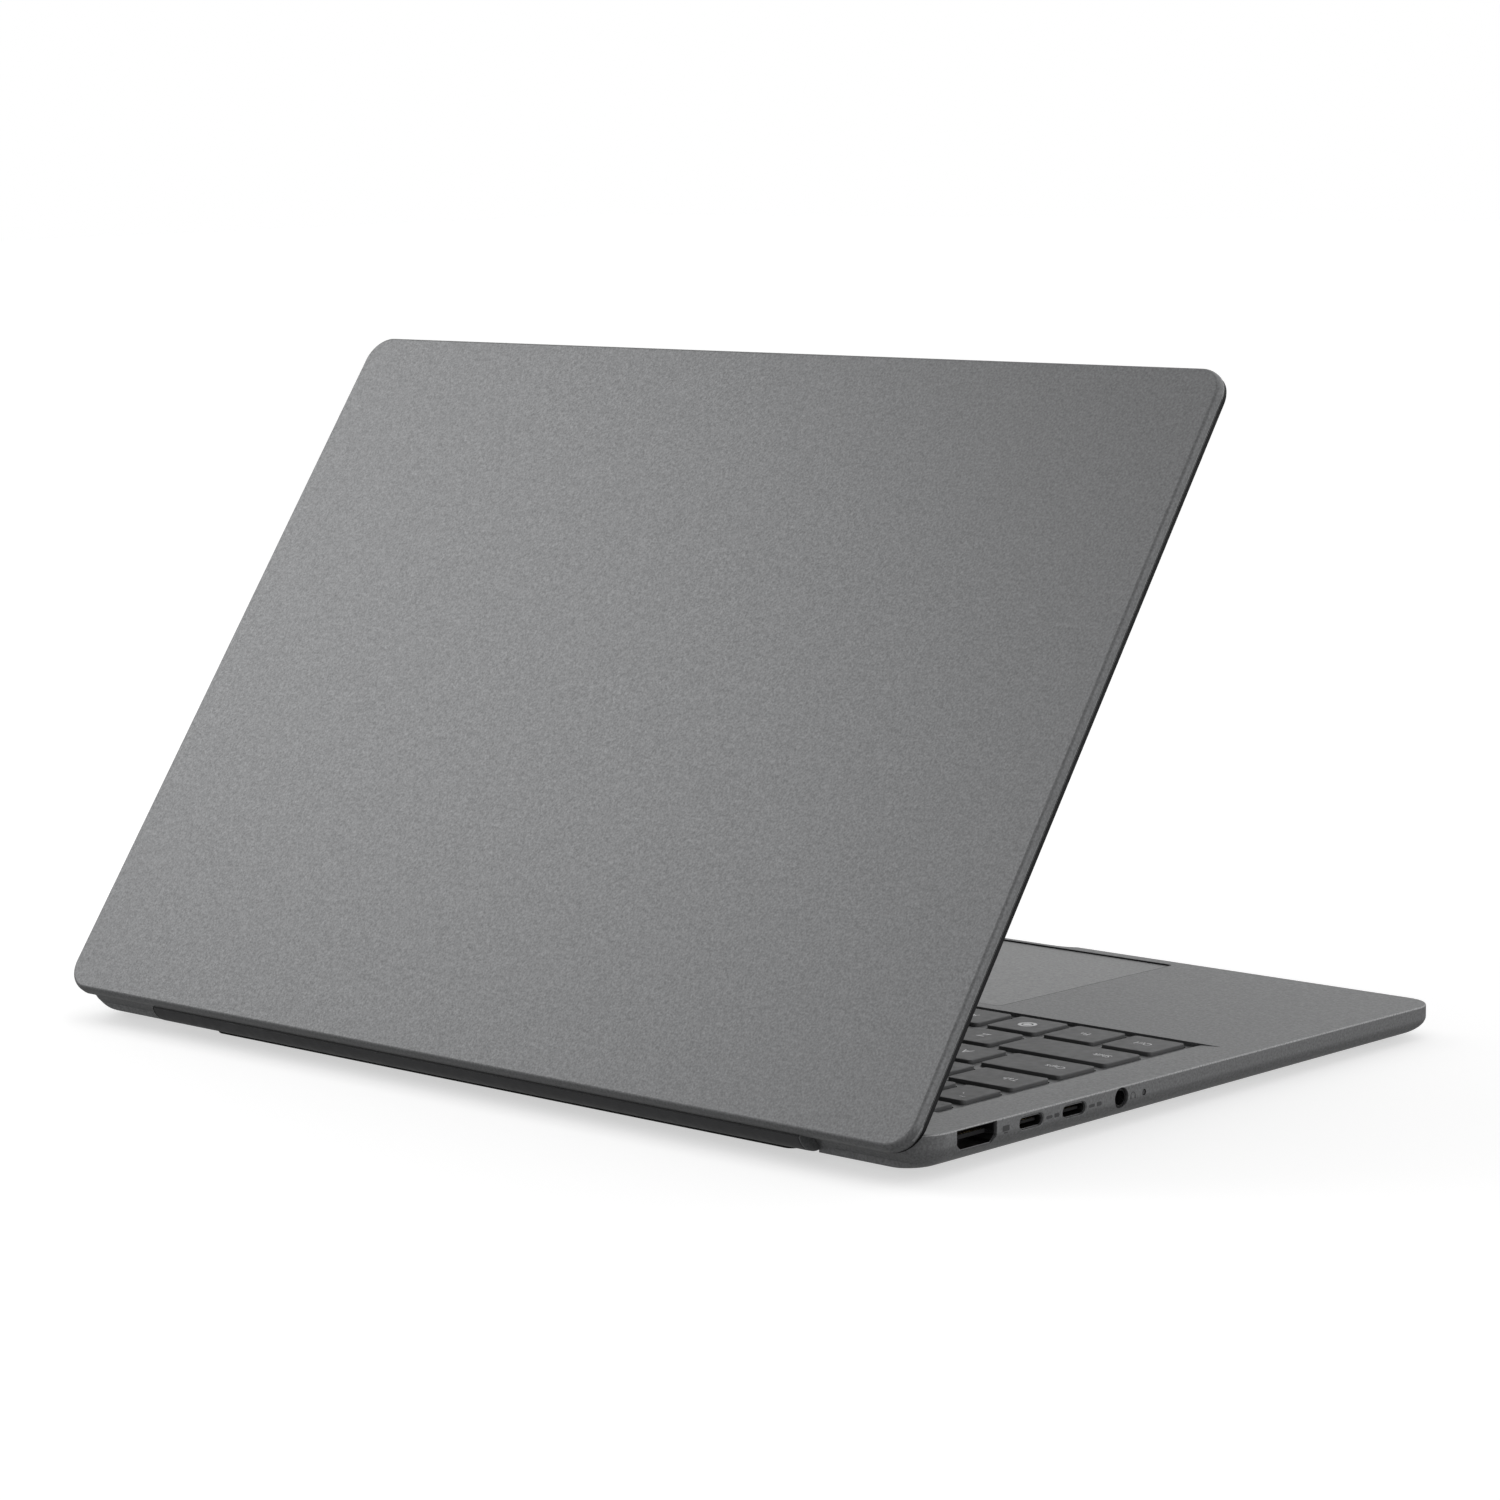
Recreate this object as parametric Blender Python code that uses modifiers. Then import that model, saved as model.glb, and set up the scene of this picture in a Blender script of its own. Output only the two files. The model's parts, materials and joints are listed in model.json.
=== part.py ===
"""A 14-inch clamshell laptop with its lid part open, as an assembly of separate solids.

Everything is drawn in the deck frame: x runs to the user's right from the middle, y runs back
from the front edge, and z is 0 on the deck (the surface around the keys). The deck frame is an
empty that leans forward by DECK_LEAN, because the rear foot is taller than the front feet. Lid
pieces are drawn as they lie with the lid shut, and their empty turns them open about the hinge.
"""

from functools import partial
from math import asin, cos, degrees, pi, radians, sin, sqrt

import bmesh
import bpy
from mathutils import Matrix, Vector

MM = 0.001  # every size below is in millimetres, and each mesh is scaled to metres as it is made

# Driving dimensions
HALF = 155.35  # half of the 310.7 mm width
LID_DEPTH = 213.9
LID_CORNER = 8.0
LID_TOP = 4.6  # outer face of the shut lid above the deck
LID_OPEN = 55.14  # degrees from shut at rest
AXIS_Y = 209.44  # hinge axis
AXIS_Z = -2.5
DECK_LEAN = 0.65  # degrees
DECK_RISE = 9.1  # deck above the floor at the front edge
REST_SHIFT_Y = -108.9  # puts the resting object's box over the origin

CASE_REAR = 212.0
CASE_CORNER = 9.5
WALL_DROP = 3.2  # upright part of the case wall
UNDER_RUN = 8.0  # how far the underside curve runs inwards
REAR_RUN = 4.0
FRONT_THICK = 7.9  # case thickness at the front, without feet
THICK_GAIN = 1.3 / 200  # gain per millimetre towards the rear
BOTTOM_INSET = 9.5
BOTTOM_REAR = 195.0
COVER_THICK = 0.9
GAP = 0.4

BARREL = 2.5  # radius of the ear ends of the case around the hinge axis
STRIP_RADIUS = 6.2  # hinge cover around the same axis
STRIP_END = 119.45  # half length of the hinge cover
RECESS_END = 119.95
FULL_OPEN = 130.0  # degrees from shut

UNIT = 19.05  # key pitch
KEY_GAP = 3.04
KEYS_LEFT = -136.2
KEYS_FRONT = 86.45
ROW_PITCH = 18.32
KEY_DEEP = 14.88
FUNCTION_DEEP = 8.0
KEY_TOP = -0.05
KEY_BASE = -1.95
WEB_LOW = -2.4  # underside of the web that joins a group's caps
KEY_TRAVEL = 1.1
WELL_FRONT = 84.35
WELL_REAR = 188.5
WELL_DEPTH = 1.1
WELL_FLOOR = -1.65  # underside of the well's floor
WELL_MIDDLE = 0.2  # the middle of the keys, across
# Each end of the well runs up to the deck: distance out from the middle, and height
WELL_RAMP = ((137.5, -WELL_DEPTH), (138.9, -0.62), (140.4, -0.28), (143.2, -0.14), (146.6, -0.05))

PAD_HALF = 68.85
PAD_FRONT = 4.5
PAD_REAR = 80.0
PAD_TOP = -0.35

HDMI_Y = 192.1
HDMI_Z = -2.93
HDMI_HALF = 7.0  # half of its opening's width
HDMI_RISE = 2.28  # half of its opening's height
USB_C_Y = (171.8, 155.5)
USB_C_Z = -2.85
USB_A_Y = 172.0
USB_A_Z = -3.5
JACK_Y = 137.2
JACK_WIDE = 3.9
LED_Y = 128.3
PORT_Z = -2.95  # middle of the jack and the lamp
PORT_SET_BACK = 0.75  # from the case's side to a receptacle's face
PORT_CLEAR = 0.2  # round each receptacle

FAN = (84.0, 141.0)
FAN_LOW = -7.5
FAN_HIGH = -4.45
FAN_WALL = 0.45
BLADES = 23

EAR_BORE = 1.9  # radius of the bore in each ear
SLEEVE = 1.6
PIN = 0.85
PIN_BORE = 1.15  # of the sleeves and the eyes that hold the pins
BELOW = -13.0  # safely under the case
BEHIND = 230.0  # safely behind it

SIDES = ((-1, "left"), (1, "right"))
SCREWS = ((-141.5, 88.6), (141.5, 88.6), (-141.5, 190.9), (141.5, 190.9))  # across and back

FUNCTION_UNIT = 14.5 / 15  # width of a function key, in key pitches
ARROW_UNIT = 3.25 / 3
# Each row, front to back: the nodes it is split into, and the widths of their caps in key units
LAYOUT = (
    (
        ("left_modifier_keys", (1,) * 4),
        ("space_bar", (5,)),
        ("right_modifier_keys", (1, 1.25)),
        ("arrow_keys", (ARROW_UNIT,) * 3),
    ),
    (("left_shift_key", (2,)), ("bottom_letter_keys", (1,) * 10), ("right_shift_key", (2.5,))),
    (("caps_lock_key", (1.5,)), ("home_letter_keys", (1,) * 11), ("enter_key", (2,))),
    (("tab_key", (1.25,)), ("top_letter_keys", (1,) * 12 + (1.25,))),
    (("number_keys", (0.75,) + (1,) * 12), ("backspace_key", (1.75,))),
    (("function_keys", (FUNCTION_UNIT,) * 14), ("power_key", (FUNCTION_UNIT,))),
)

for old in list(bpy.data.objects):
    bpy.data.objects.remove(old, do_unlink=True)


def collection(name):
    made = bpy.data.collections.new(name)
    bpy.context.scene.collection.children.link(made)
    return made


PARTS = collection("laptop")
CUTTERS = collection("cutters")
CUTTERS.hide_render = True


def empty(name, parent=None):
    made = bpy.data.objects.new(name, None)
    made.empty_display_size = 0.02
    made.parent = parent
    PARTS.objects.link(made)
    return made


FLOOR = empty("floor_frame")
FLOOR.location.y = REST_SHIFT_Y * MM
DECK = empty("deck_frame", FLOOR)
DECK.location.z = DECK_RISE * MM
DECK.rotation_euler.x = radians(DECK_LEAN)
AXIS = Vector((0, AXIS_Y, AXIS_Z)) * MM
LID = empty("lid_frame", DECK)
LID.location = AXIS
LID.rotation_euler.x = -radians(LID_OPEN)

COLOURS = {
    # name: (red, green, blue, roughness, metallic)
    "anodised_grey": (0.17, 0.17, 0.175, 0.42, 0.9),
    "black_plastic": (0.012, 0.012, 0.013, 0.5, 0.0),
    "key_grey": (0.09, 0.09, 0.095, 0.6, 0.0),
    "screen_glass": (0.004, 0.004, 0.005, 0.06, 0.0),
    "touchpad_glass": (0.16, 0.16, 0.165, 0.35, 0.0),
    "rubber": (0.01, 0.01, 0.01, 0.8, 0.0),
    "steel": (0.5, 0.5, 0.5, 0.35, 1.0),
    "board_green": (0.02, 0.09, 0.05, 0.5, 0.0),
    "battery_foil": (0.03, 0.03, 0.035, 0.45, 0.2),
    "copper": (0.72, 0.34, 0.2, 0.3, 1.0),
    "ribbon": (0.45, 0.3, 0.1, 0.5, 0.0),
    "lamp_lens": (0.8, 0.8, 0.8, 0.3, 0.0),
}


def material(name):
    made = bpy.data.materials.get(name)
    if made is None:
        red, green, blue, roughness, metallic = COLOURS[name]
        made = bpy.data.materials.new(name)
        made.use_nodes = True
        shader = made.node_tree.nodes["Principled BSDF"]
        shader.inputs["Base Color"].default_value = (red, green, blue, 1)
        shader.inputs["Roughness"].default_value = roughness
        shader.inputs["Metallic"].default_value = metallic
    return made


def place(name, mesh, colour, frame=None):
    """An object for a mesh drawn in millimetres of the deck frame. No colour makes it a cutter."""
    frame = frame or DECK
    mesh.transform(Matrix.Diagonal((MM, MM, MM, 1)))
    made = bpy.data.objects.new(name, mesh)
    made.parent = frame
    if frame is LID:
        made.location = -AXIS
    if colour is None:
        CUTTERS.objects.link(made)
        made.hide_render = True
        made.display_type = "WIRE"
    else:
        PARTS.objects.link(made)
        mesh.materials.append(material(colour))
        mesh.shade_smooth()
        mesh.set_sharp_from_angle(angle=radians(35))
    return made


def mesh_of(shape, name):
    bmesh.ops.recalc_face_normals(shape, faces=shape.faces)
    mesh = bpy.data.meshes.new(name)
    shape.to_mesh(mesh)
    shape.free()
    return mesh


def boxes(name, spans, colour=None, frame=None):
    """One mesh of upright boxes, each given as its low and high corners."""
    shape = bmesh.new()
    for low, high in spans:
        low, high = Vector(low), Vector(high)
        size = Matrix.Diagonal((*(high - low), 1))
        bmesh.ops.create_cube(shape, size=1, matrix=Matrix.Translation((low + high) / 2) @ size)
    return place(name, mesh_of(shape, name), colour, frame)


def box(name, low, high, colour=None, frame=None, round_edges=0.0):
    made = boxes(name, [(low, high)], colour, frame)
    if round_edges:
        bevel = made.modifiers.new("edges", "BEVEL")
        bevel.width = round_edges * MM
        bevel.segments = 2
    return made


ACROSS = {
    # the outline's own axes and the way it is thickened, for each direction
    "Z": Matrix(((1, 0, 0), (0, 1, 0), (0, 0, 1))).to_4x4(),
    "X": Matrix(((0, 0, 1), (1, 0, 0), (0, 1, 0))).to_4x4(),
    "Y": Matrix(((1, 0, 0), (0, 0, -1), (0, 1, 0))).to_4x4(),
}


def slab(name, outline, low, high, colour=None, frame=None, along="Z"):
    """A flat outline, thickened from low to high. Along X it lies in YZ, and along Y in XZ."""
    curve = bpy.data.curves.new(name, "CURVE")
    curve.dimensions = "2D"
    curve.fill_mode = "BOTH"
    curve.extrude = (high - low) / 2
    spline = curve.splines.new("POLY")
    spline.points.add(len(outline) - 1)
    for point, (across, up) in zip(spline.points, outline):
        point.co = (across, up, 0, 1)
    spline.use_cyclic_u = True
    drawn = bpy.data.objects.new(name + "_outline", curve)
    PARTS.objects.link(drawn)
    graph = bpy.context.evaluated_depsgraph_get()
    flat = bpy.data.meshes.new_from_object(drawn.evaluated_get(graph))
    bpy.data.objects.remove(drawn, do_unlink=True)
    middle = (low + high) / 2
    shape = bmesh.new()
    shape.from_mesh(flat)
    bpy.data.meshes.remove(flat)
    bmesh.ops.remove_doubles(shape, verts=shape.verts, dist=0.0001)
    turn = ACROSS[along]
    shift = Matrix.Translation((0, 0, -middle if along == "Y" else middle))
    bmesh.ops.transform(shape, matrix=turn @ shift, verts=shape.verts)
    return place(name, mesh_of(shape, name), colour, frame)


def rod(name, centre, radius, low, high, along="X", colour=None, frame=None, sides=24, tip=None):
    """A cylinder, or a cone when tip gives its other radius, along an axis of the deck frame."""
    turn = {
        "X": Matrix.Rotation(pi / 2, 4, "Y"),
        "Y": Matrix.Rotation(-pi / 2, 4, "X"),
        "Z": Matrix.Identity(4),
    }[along]
    spot = Vector(centre)
    spot["XYZ".index(along)] = (low + high) / 2
    shape = bmesh.new()
    bmesh.ops.create_cone(
        shape,
        cap_ends=True,
        segments=sides,
        radius1=radius,
        radius2=radius if tip is None else tip,
        depth=high - low,
        matrix=Matrix.Translation(spot) @ turn,
    )
    return place(name, mesh_of(shape, name), colour, frame)


def arc(centre, radius, start, end, steps):
    """Points along a circle, from one angle in degrees to another."""
    angles = [radians(start + (end - start) * i / steps) for i in range(steps + 1)]
    return [(centre[0] + radius * cos(a), centre[1] + radius * sin(a)) for a in angles]


def rounded(x0, x1, y0, y1, radius, steps=6):
    """A rectangle with round corners. A pair of radii is for the front and the rear corners."""
    front, rear = radius if isinstance(radius, tuple) else (radius, radius)
    return (
        arc((x1 - front, y0 + front), front, -90, 0, steps)
        + arc((x1 - rear, y1 - rear), rear, 0, 90, steps)
        + arc((x0 + rear, y1 - rear), rear, 90, 180, steps)
        + arc((x0 + front, y0 + front), front, 180, 270, steps)
    )


def loft(name, rings, colour=None, frame=None):
    """A skin through rings of matching points, with both ends closed."""
    shape = bmesh.new()
    rows = [[shape.verts.new(point) for point in ring] for ring in rings]
    for lower, upper in zip(rows, rows[1:]):
        for i in range(len(lower)):
            j = (i + 1) % len(lower)
            shape.faces.new((lower[i], lower[j], upper[j], upper[i]))
    shape.faces.new(rows[0])
    shape.faces.new(rows[-1])
    return place(name, mesh_of(shape, name), colour, frame)


def combine(part, operation, others):
    for other in others:
        boolean = part.modifiers.new(other.name, "BOOLEAN")
        boolean.operation = operation
        boolean.object = other
        boolean.solver = "EXACT"


def cut(part, *cutters):
    combine(part, "DIFFERENCE", cutters)


def join(part, *pieces):
    combine(part, "UNION", pieces)


def thickness(y):
    return FRONT_THICK + THICK_GAIN * y


def row_front(row):
    return KEYS_FRONT + row * ROW_PITCH


def caps():
    """Every key cap, as its node, the left and right of each cap, and the row's front and rear."""
    for row, nodes in enumerate(LAYOUT):
        left = KEYS_LEFT
        front = row_front(row)
        rear = front + (FUNCTION_DEEP if row == len(LAYOUT) - 1 else KEY_DEEP)
        for node, widths in nodes:
            spans = []
            for width in widths:
                spans.append((left, left + width * UNIT - KEY_GAP))
                left += width * UNIT
            yield node, spans, front, rear


# Case ---------------------------------------------------------------------------------------


def case_ring(inset, rear_inset, depth):
    corner = CASE_CORNER - 0.5 * inset
    outline = rounded(-HALF + inset, HALF - inset, inset, CASE_REAR - rear_inset, corner)
    return [(x, y, -depth(y)) for x, y in outline]


def case_body(name, colour):
    """The outer form: a small edge break, an upright wall, and a quarter ellipse under it."""
    steps = 7
    rings = [
        case_ring(0.3, 0.3, lambda y: 0.0),
        case_ring(0.0, 0.0, lambda y: 0.3),
        case_ring(0.0, 0.0, lambda y: WALL_DROP),
    ]
    for step in range(1, steps + 1):
        turn = radians(90 * step / steps)
        inwards = 1 - cos(turn)
        rings.append(
            case_ring(
                UNDER_RUN * inwards,
                REAR_RUN * inwards,
                lambda y, down=sin(turn): WALL_DROP + (thickness(y) - WALL_DROP) * down,
            )
        )
    return loft(name, rings, colour)


def rear_cut():
    """Behind the ears: round the barrel, along the wide-open lid's inner face, and down."""
    lowest = FULL_OPEN - 90
    barrel = arc((AXIS_Y, AXIS_Z), BARREL, 80, -lowest, 10)
    y, z = barrel[-1]
    reach = LID_DEPTH - AXIS_Y
    heel = (y - reach * sin(radians(lowest)), z - reach * cos(radians(lowest)))
    outline = [(barrel[0][0], 4)] + barrel
    outline += [heel, (heel[0], BELOW), (BEHIND, BELOW), (BEHIND, 4)]
    return slab("rear_cut", outline, -HALF - 5, HALF + 5, along="X")


def hinge_recess():
    """Room between the ears for the hinge cover, with a round front wall."""
    curve = arc((AXIS_Y, AXIS_Z), STRIP_RADIUS + 0.5, 160, 222, 8)
    outline = [(curve[0][0], 4)] + curve
    outline += [(curve[-1][0], BELOW), (BEHIND, BELOW), (BEHIND, 4)]
    return slab("hinge_recess", outline, -RECESS_END, RECESS_END, along="X")


def keyboard_well():
    """The sunk area around the keys. Its floor runs up to the deck at both ends."""
    ramp = WELL_RAMP + ((146.8, 1.0),)
    outline = [(WELL_MIDDLE - out, height) for out, height in reversed(ramp)]
    outline += [(WELL_MIDDLE + out, height) for out, height in ramp]
    return slab("keyboard_well", outline, WELL_FRONT, WELL_REAR, along="Y")


def key_openings():
    clear = 0.35
    spans = []
    for _, keys, front, rear in caps():
        for left, right in keys:
            low = (left - clear, front - clear, WELL_FLOOR - 1)
            spans.append((low, (right + clear, rear + clear, 1)))
    return boxes("key_openings", spans)


def finger_scoop():
    half = [(25, 2.4), (29, 1.8), (32, 0.4), (37, -3)]
    outline = [(-x, y) for x, y in reversed(half)] + half
    return slab("finger_scoop", outline, -2.6, 3)


def cavities():
    """The hollow: a well open below, wider behind the upright walls, and higher at the front."""
    inner = HALF - BOTTOM_INSET
    wide = HALF - 2.0
    spans = {
        "cavity": ((-inner, BOTTOM_INSET, BELOW), (inner, BOTTOM_REAR, WELL_FLOOR)),
        "upper_cavity": ((-wide, 14, -4.6), (wide, 188.9, -1.9)),
        "palm_cavity": ((-inner + 0.5, BOTTOM_INSET + 0.5, -5), (inner - 0.5, 82, -1.2)),
        "rear_cavity": ((-115, 180, -7.2), (115, 200.4, -2.1)),
    }
    return [box(name, low, high) for name, (low, high) in spans.items()]


def exhaust_slots():
    spans = []
    for i in range(14):
        left = 60 + i * 3.6
        spans.append(((left, 198, -6.4), (left + 2.0, 207, -3.0)))
    return boxes("exhaust_slots", spans)


def bosses():
    """Posts under the deck that take the bottom screws, one in each corner of the cavity."""
    for i, (x, y) in enumerate(SCREWS):
        low = -thickness(y) + COVER_THICK + 0.35
        yield rod(f"boss_{i}", (x, y, 0), 3.0, low, -1.4, "Z", sides=16)


def port_outline(y, z, wide, high, corner, grow=0.0):
    half, tall = wide / 2 + grow, high / 2 + grow
    return rounded(y - half, y + half, z - tall, z + tall, corner + grow, 4)


def hdmi_outline(grow=0.0):
    """A wide slot whose lower corners are cut off."""
    half = HDMI_HALF + grow
    top = HDMI_Z + HDMI_RISE + grow
    low = HDMI_Z - HDMI_RISE - grow
    slant = 1.6
    return [
        (HDMI_Y - half, top),
        (HDMI_Y - half, low + slant),
        (HDMI_Y - half + slant, low),
        (HDMI_Y + half - slant, low),
        (HDMI_Y + half, low + slant),
        (HDMI_Y + half, top),
    ]


def side_port(name, outline, side, deep, tongue, colour="steel", wall=0.22):
    """A receptacle let into the case's side: a shell with a closed back and a tongue.

    The outline function gives the opening, grown by a margin. It returns the cutter for the
    hole in the case.
    """
    near = HALF - PORT_SET_BACK
    far = near - deep
    ends = (-near, -far) if side < 0 else (far, near)
    body = slab(name, outline(wall), *ends, colour, along="X")
    hollow = (-HALF - 1, -far - 1.0) if side < 0 else (far + 1.0, HALF + 1)
    cut(body, slab(name + "_hollow", outline(0.0), *hollow, along="X"))
    if tongue:
        y, z, wide, high, set_back = tongue
        left, right = (-near + set_back, -far - 0.5) if side < 0 else (far + 0.5, near - set_back)
        low = (left, y - wide / 2, z - high / 2)
        join(body, box(name + "_tongue", low, (right, y + wide / 2, z + high / 2)))
    hole = (-HALF - 1, -far + 0.8) if side < 0 else (far - 0.8, HALF + 1)
    return slab(name + "_hole", outline(wall + PORT_CLEAR), *hole, along="X")


def usb_c_outline(y, grow):
    return port_outline(y, USB_C_Z, 8.34, 2.56, 1.27, grow)


def ports():
    """The receptacles, as a list of the holes that they need in the case."""
    blade = (HDMI_Y, HDMI_Z + 0.3, 11.0, 1.0, 1.5)
    holes = [side_port("hdmi_port", hdmi_outline, -1, 8.6, blade)]
    for i, y in enumerate(USB_C_Y):
        outline = partial(usb_c_outline, y)
        blade = (y, USB_C_Z, 6.7, 0.7, 1.0)
        holes.append(side_port(f"usb_c_port_{i + 1}", outline, -1, 9.0, blade))
    outline = partial(port_outline, USB_A_Y, USB_A_Z, 12.5, 4.6, 0.3)
    blade = (USB_A_Y, USB_A_Z + 1.1, 11.1, 1.6, 1.2)
    holes.append(side_port("usb_a_port", outline, 1, 13.0, blade))
    outline = partial(port_outline, JACK_Y, PORT_Z, JACK_WIDE, JACK_WIDE, JACK_WIDE / 2 - 0.01)
    holes.append(side_port("audio_jack", outline, -1, 8.6, None, "black_plastic", 0.6))
    return holes


def status_led():
    spot = (0, LED_Y, PORT_Z)
    rod("status_led", spot, 0.55, -HALF + 0.2, -HALF + 3.2, "X", "lamp_lens", sides=12)
    return rod("status_led_hole", spot, 0.85, -HALF - 1, -HALF + 4.0, "X", sides=12)


def hinge_bores():
    """The bore in each ear for the bracket's sleeve, and the slot its arm comes out by."""
    for side, hand in SIDES:
        low, high = sorted((side * (RECESS_END - 1), side * 138.0))
        yield rod(f"ear_bore_{hand}", (0, AXIS_Y, AXIS_Z), EAR_BORE, low, high, "X", sides=20)
        arm = sorted((side * 124.5, side * 134.5))
        yield box(f"ear_slot_{hand}", (arm[0], 188, -3.75), (arm[1], AXIS_Y, -1.55))


def top_case():
    body = case_body("top_case", "anodised_grey")
    cut(body, rear_cut(), hinge_recess(), keyboard_well(), finger_scoop(), *cavities())
    join(body, *bosses())
    for i, (x, y) in enumerate(SCREWS):
        cut(body, rod(f"boss_bore_{i}", (x, y, 0), 1.3, -11, -3.6, "Z", sides=12))
    half = PAD_HALF + GAP
    outline = rounded(-half, half, PAD_FRONT - GAP, PAD_REAR + GAP, 1.5, 3)
    cut(body, key_openings(), slab("touchpad_hole", outline, -3, 2), exhaust_slots())
    cut(body, *ports(), status_led(), *hinge_bores())


def bottom_cover():
    """A plate that follows the underside, with intake and speaker slots and screw holes."""
    inset = BOTTOM_INSET + GAP
    outline = rounded(-HALF + inset, HALF - inset, inset, BOTTOM_REAR - GAP, 5.0, 4)
    lower = [(x, y, -thickness(y)) for x, y in outline]
    upper = [(x, y, -thickness(y) + COVER_THICK) for x, y in outline]
    body = loft("bottom_cover", [lower, upper], "anodised_grey")
    slots = []
    for row in range(6):
        y = FAN[1] - 15 + row * 6
        half = sqrt(max(20.0**2 - (y - FAN[1]) ** 2, 0.0))
        slots.append(((FAN[0] - half, y - 1.1, -12), (FAN[0] + half, y + 1.1, -5)))
    for side, _ in SIDES:
        for i in range(5):
            y = 22 + i * 5
            x = sorted((side * 127, side * 139))
            slots.append(((x[0], y - 0.9, -12), (x[1], y + 0.9, -5)))
    cut(body, boxes("cover_slots", slots))
    for i, (x, y) in enumerate(SCREWS):
        cut(body, rod(f"screw_hole_{i}", (x, y, 0), 1.4, -12, -4, "Z", sides=16))
        seat = -thickness(y)
        cut(body, rod(f"screw_seat_{i}", (x, y, 0), 2.6, seat - 1, seat + 0.45, "Z", sides=16))


def bottom_screws():
    profile = [(0, 4.2), (0.95, 4.2), (0.95, 0.35), (2.2, 0.35), (2.2, 0.05), (0, 0.05)]
    for i, (x, y) in enumerate(SCREWS):
        turned(f"bottom_screw_{i + 1}", profile, (x, y, -thickness(y)), "steel", 16)


def turned(name, profile, spot, colour, steps):
    """A profile of (radius, height) turned about the upright line through spot.

    It runs down its outer side from the axis at the top to the axis at the bottom.
    """
    mesh = bpy.data.meshes.new(name)
    points = [(radius, 0, height) for radius, height in profile]
    mesh.from_pydata(points, [(i, i + 1) for i in range(len(points) - 1)], [])
    made = place(name, mesh, colour)
    made.location = Vector(spot) * MM
    screw = made.modifiers.new("turn", "SCREW")
    screw.steps = steps
    screw.render_steps = steps
    screw.use_merge_vertices = True
    screw.merge_threshold = 0.00001
    return made


def feet():
    """Rubber feet whose lower faces are all on the floor."""
    for side, hand in SIDES:
        x = sorted((side * 92.0, side * 132.0))
        outline = rounded(x[0], x[1], 12, 19, 3.4, 5)
        top = floor_height(12) + DECK_RISE - thickness(12) - 0.3
        slab(f"front_foot_{hand}", outline, 0, top, "rubber", FLOOR)
    outline = rounded(-107.5, 107.5, 197.6, 204.0, 3.1, 5)
    top = floor_height(197.6) + DECK_RISE - thickness(204) - 0.3
    slab("rear_foot", outline, 0, top, "rubber", FLOOR)


def floor_height(y):
    """How much the leaning deck has risen at y above its height at the front edge."""
    return y * sin(radians(DECK_LEAN))


# Keys and touchpad ----------------------------------------------------------------------------


def cap_profile(spans):
    """The comb of a group of caps: a web below, and each cap rising from it."""
    ease = 0.3
    outline = [(spans[0][0], WEB_LOW)]
    for i, (left, right) in enumerate(spans):
        outline += [(left, KEY_TOP - ease), (left + ease, KEY_TOP)]
        outline += [(right - ease, KEY_TOP), (right, KEY_TOP - ease)]
        if i + 1 < len(spans):
            outline += [(right, KEY_BASE), (spans[i + 1][0], KEY_BASE)]
    outline.append((spans[-1][1], WEB_LOW))
    return outline[::-1]


def keys():
    for node, spans, front, rear in caps():
        group = slab(node, cap_profile(spans), front, rear, "key_grey", along="Y")
        if node == "arrow_keys":
            left, right = spans[1]
            middle = (front + rear) / 2
            low = (left - 1, middle - 0.3, KEY_BASE)
            cut(group, box("arrow_split", low, (right + 1, middle + 0.3, 1)))


def keyboard_plate():
    """The plate that carries the keys, just under where a pressed key's web ends."""
    top = WEB_LOW - KEY_TRAVEL - 0.25
    box("keyboard_plate", (-137.8, 85.0, top - 0.3), (137.8, 187.2, top), "steel")


def touchpad():
    outline = rounded(-PAD_HALF, PAD_HALF, PAD_FRONT, PAD_REAR, 1.2, 3)
    slab("touchpad", outline, -2.2, PAD_TOP, "touchpad_glass")
    plate = slab("touchpad_bracket", rounded(-74, 74, 12, 81, 2, 3), -3.2, -2.9, "steel")
    holes = [((x - 12, 22, -5), (x + 12, 70, 1)) for x in (-48, -16, 16, 48)]
    cut(plate, boxes("bracket_windows", holes))


# Inside the case ------------------------------------------------------------------------------


def mainboard():
    """The board with its processor, memory and controller packages on the underside."""
    outline = [(-141, 95), (50, 95), (50, 178), (38, 193), (-104, 193), (-104, 187), (-141, 187)]
    body = slab("mainboard", outline, -4.95, -4.4, "board_green")
    chips = [
        ((-22, 134), (14, 164), 0.75),
        ((-60, 140), (-46, 156), 0.6),
        ((-60, 118), (-46, 132), 0.6),
        ((26, 106), (38, 116), 0.6),
        ((-96, 96.5), (-70, 104), 0.6),
    ]
    for i, (low, high, tall) in enumerate(chips):
        join(body, box(f"package_{i}", (*low, -4.95 - tall), (*high, -4.8)))


def cooling():
    box("cold_plate", (-25, 131, -6.3), (17, 167, -5.95), "copper", round_edges=0.1)
    route = [(-14, 150), (20, 150), (38, 156), (46, 172), (54, 184), (70, 191.2), (112, 191.2)]
    band = []
    for i, (x, y) in enumerate(route):
        before = Vector(route[max(i - 1, 0)])
        after = Vector(route[min(i + 1, len(route) - 1)])
        side = (after - before).normalized().orthogonal() * 3.4
        band.append(((x + side.x, y + side.y), (x - side.x, y - side.y)))
    outline = [left for left, _ in band] + [right for _, right in reversed(band)]
    slab("heat_pipe", outline, -7.5, -6.5, "copper")
    fins = box("heatsink_fins", (58, 190.6, -6.2), (112, 198.6, -2.4), "copper")
    gaps = [((59.5 + i * 2.8, 190, -5.9), (61.3 + i * 2.8, 200, -2)) for i in range(18)]
    cut(fins, boxes("fin_gaps", gaps))


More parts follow.
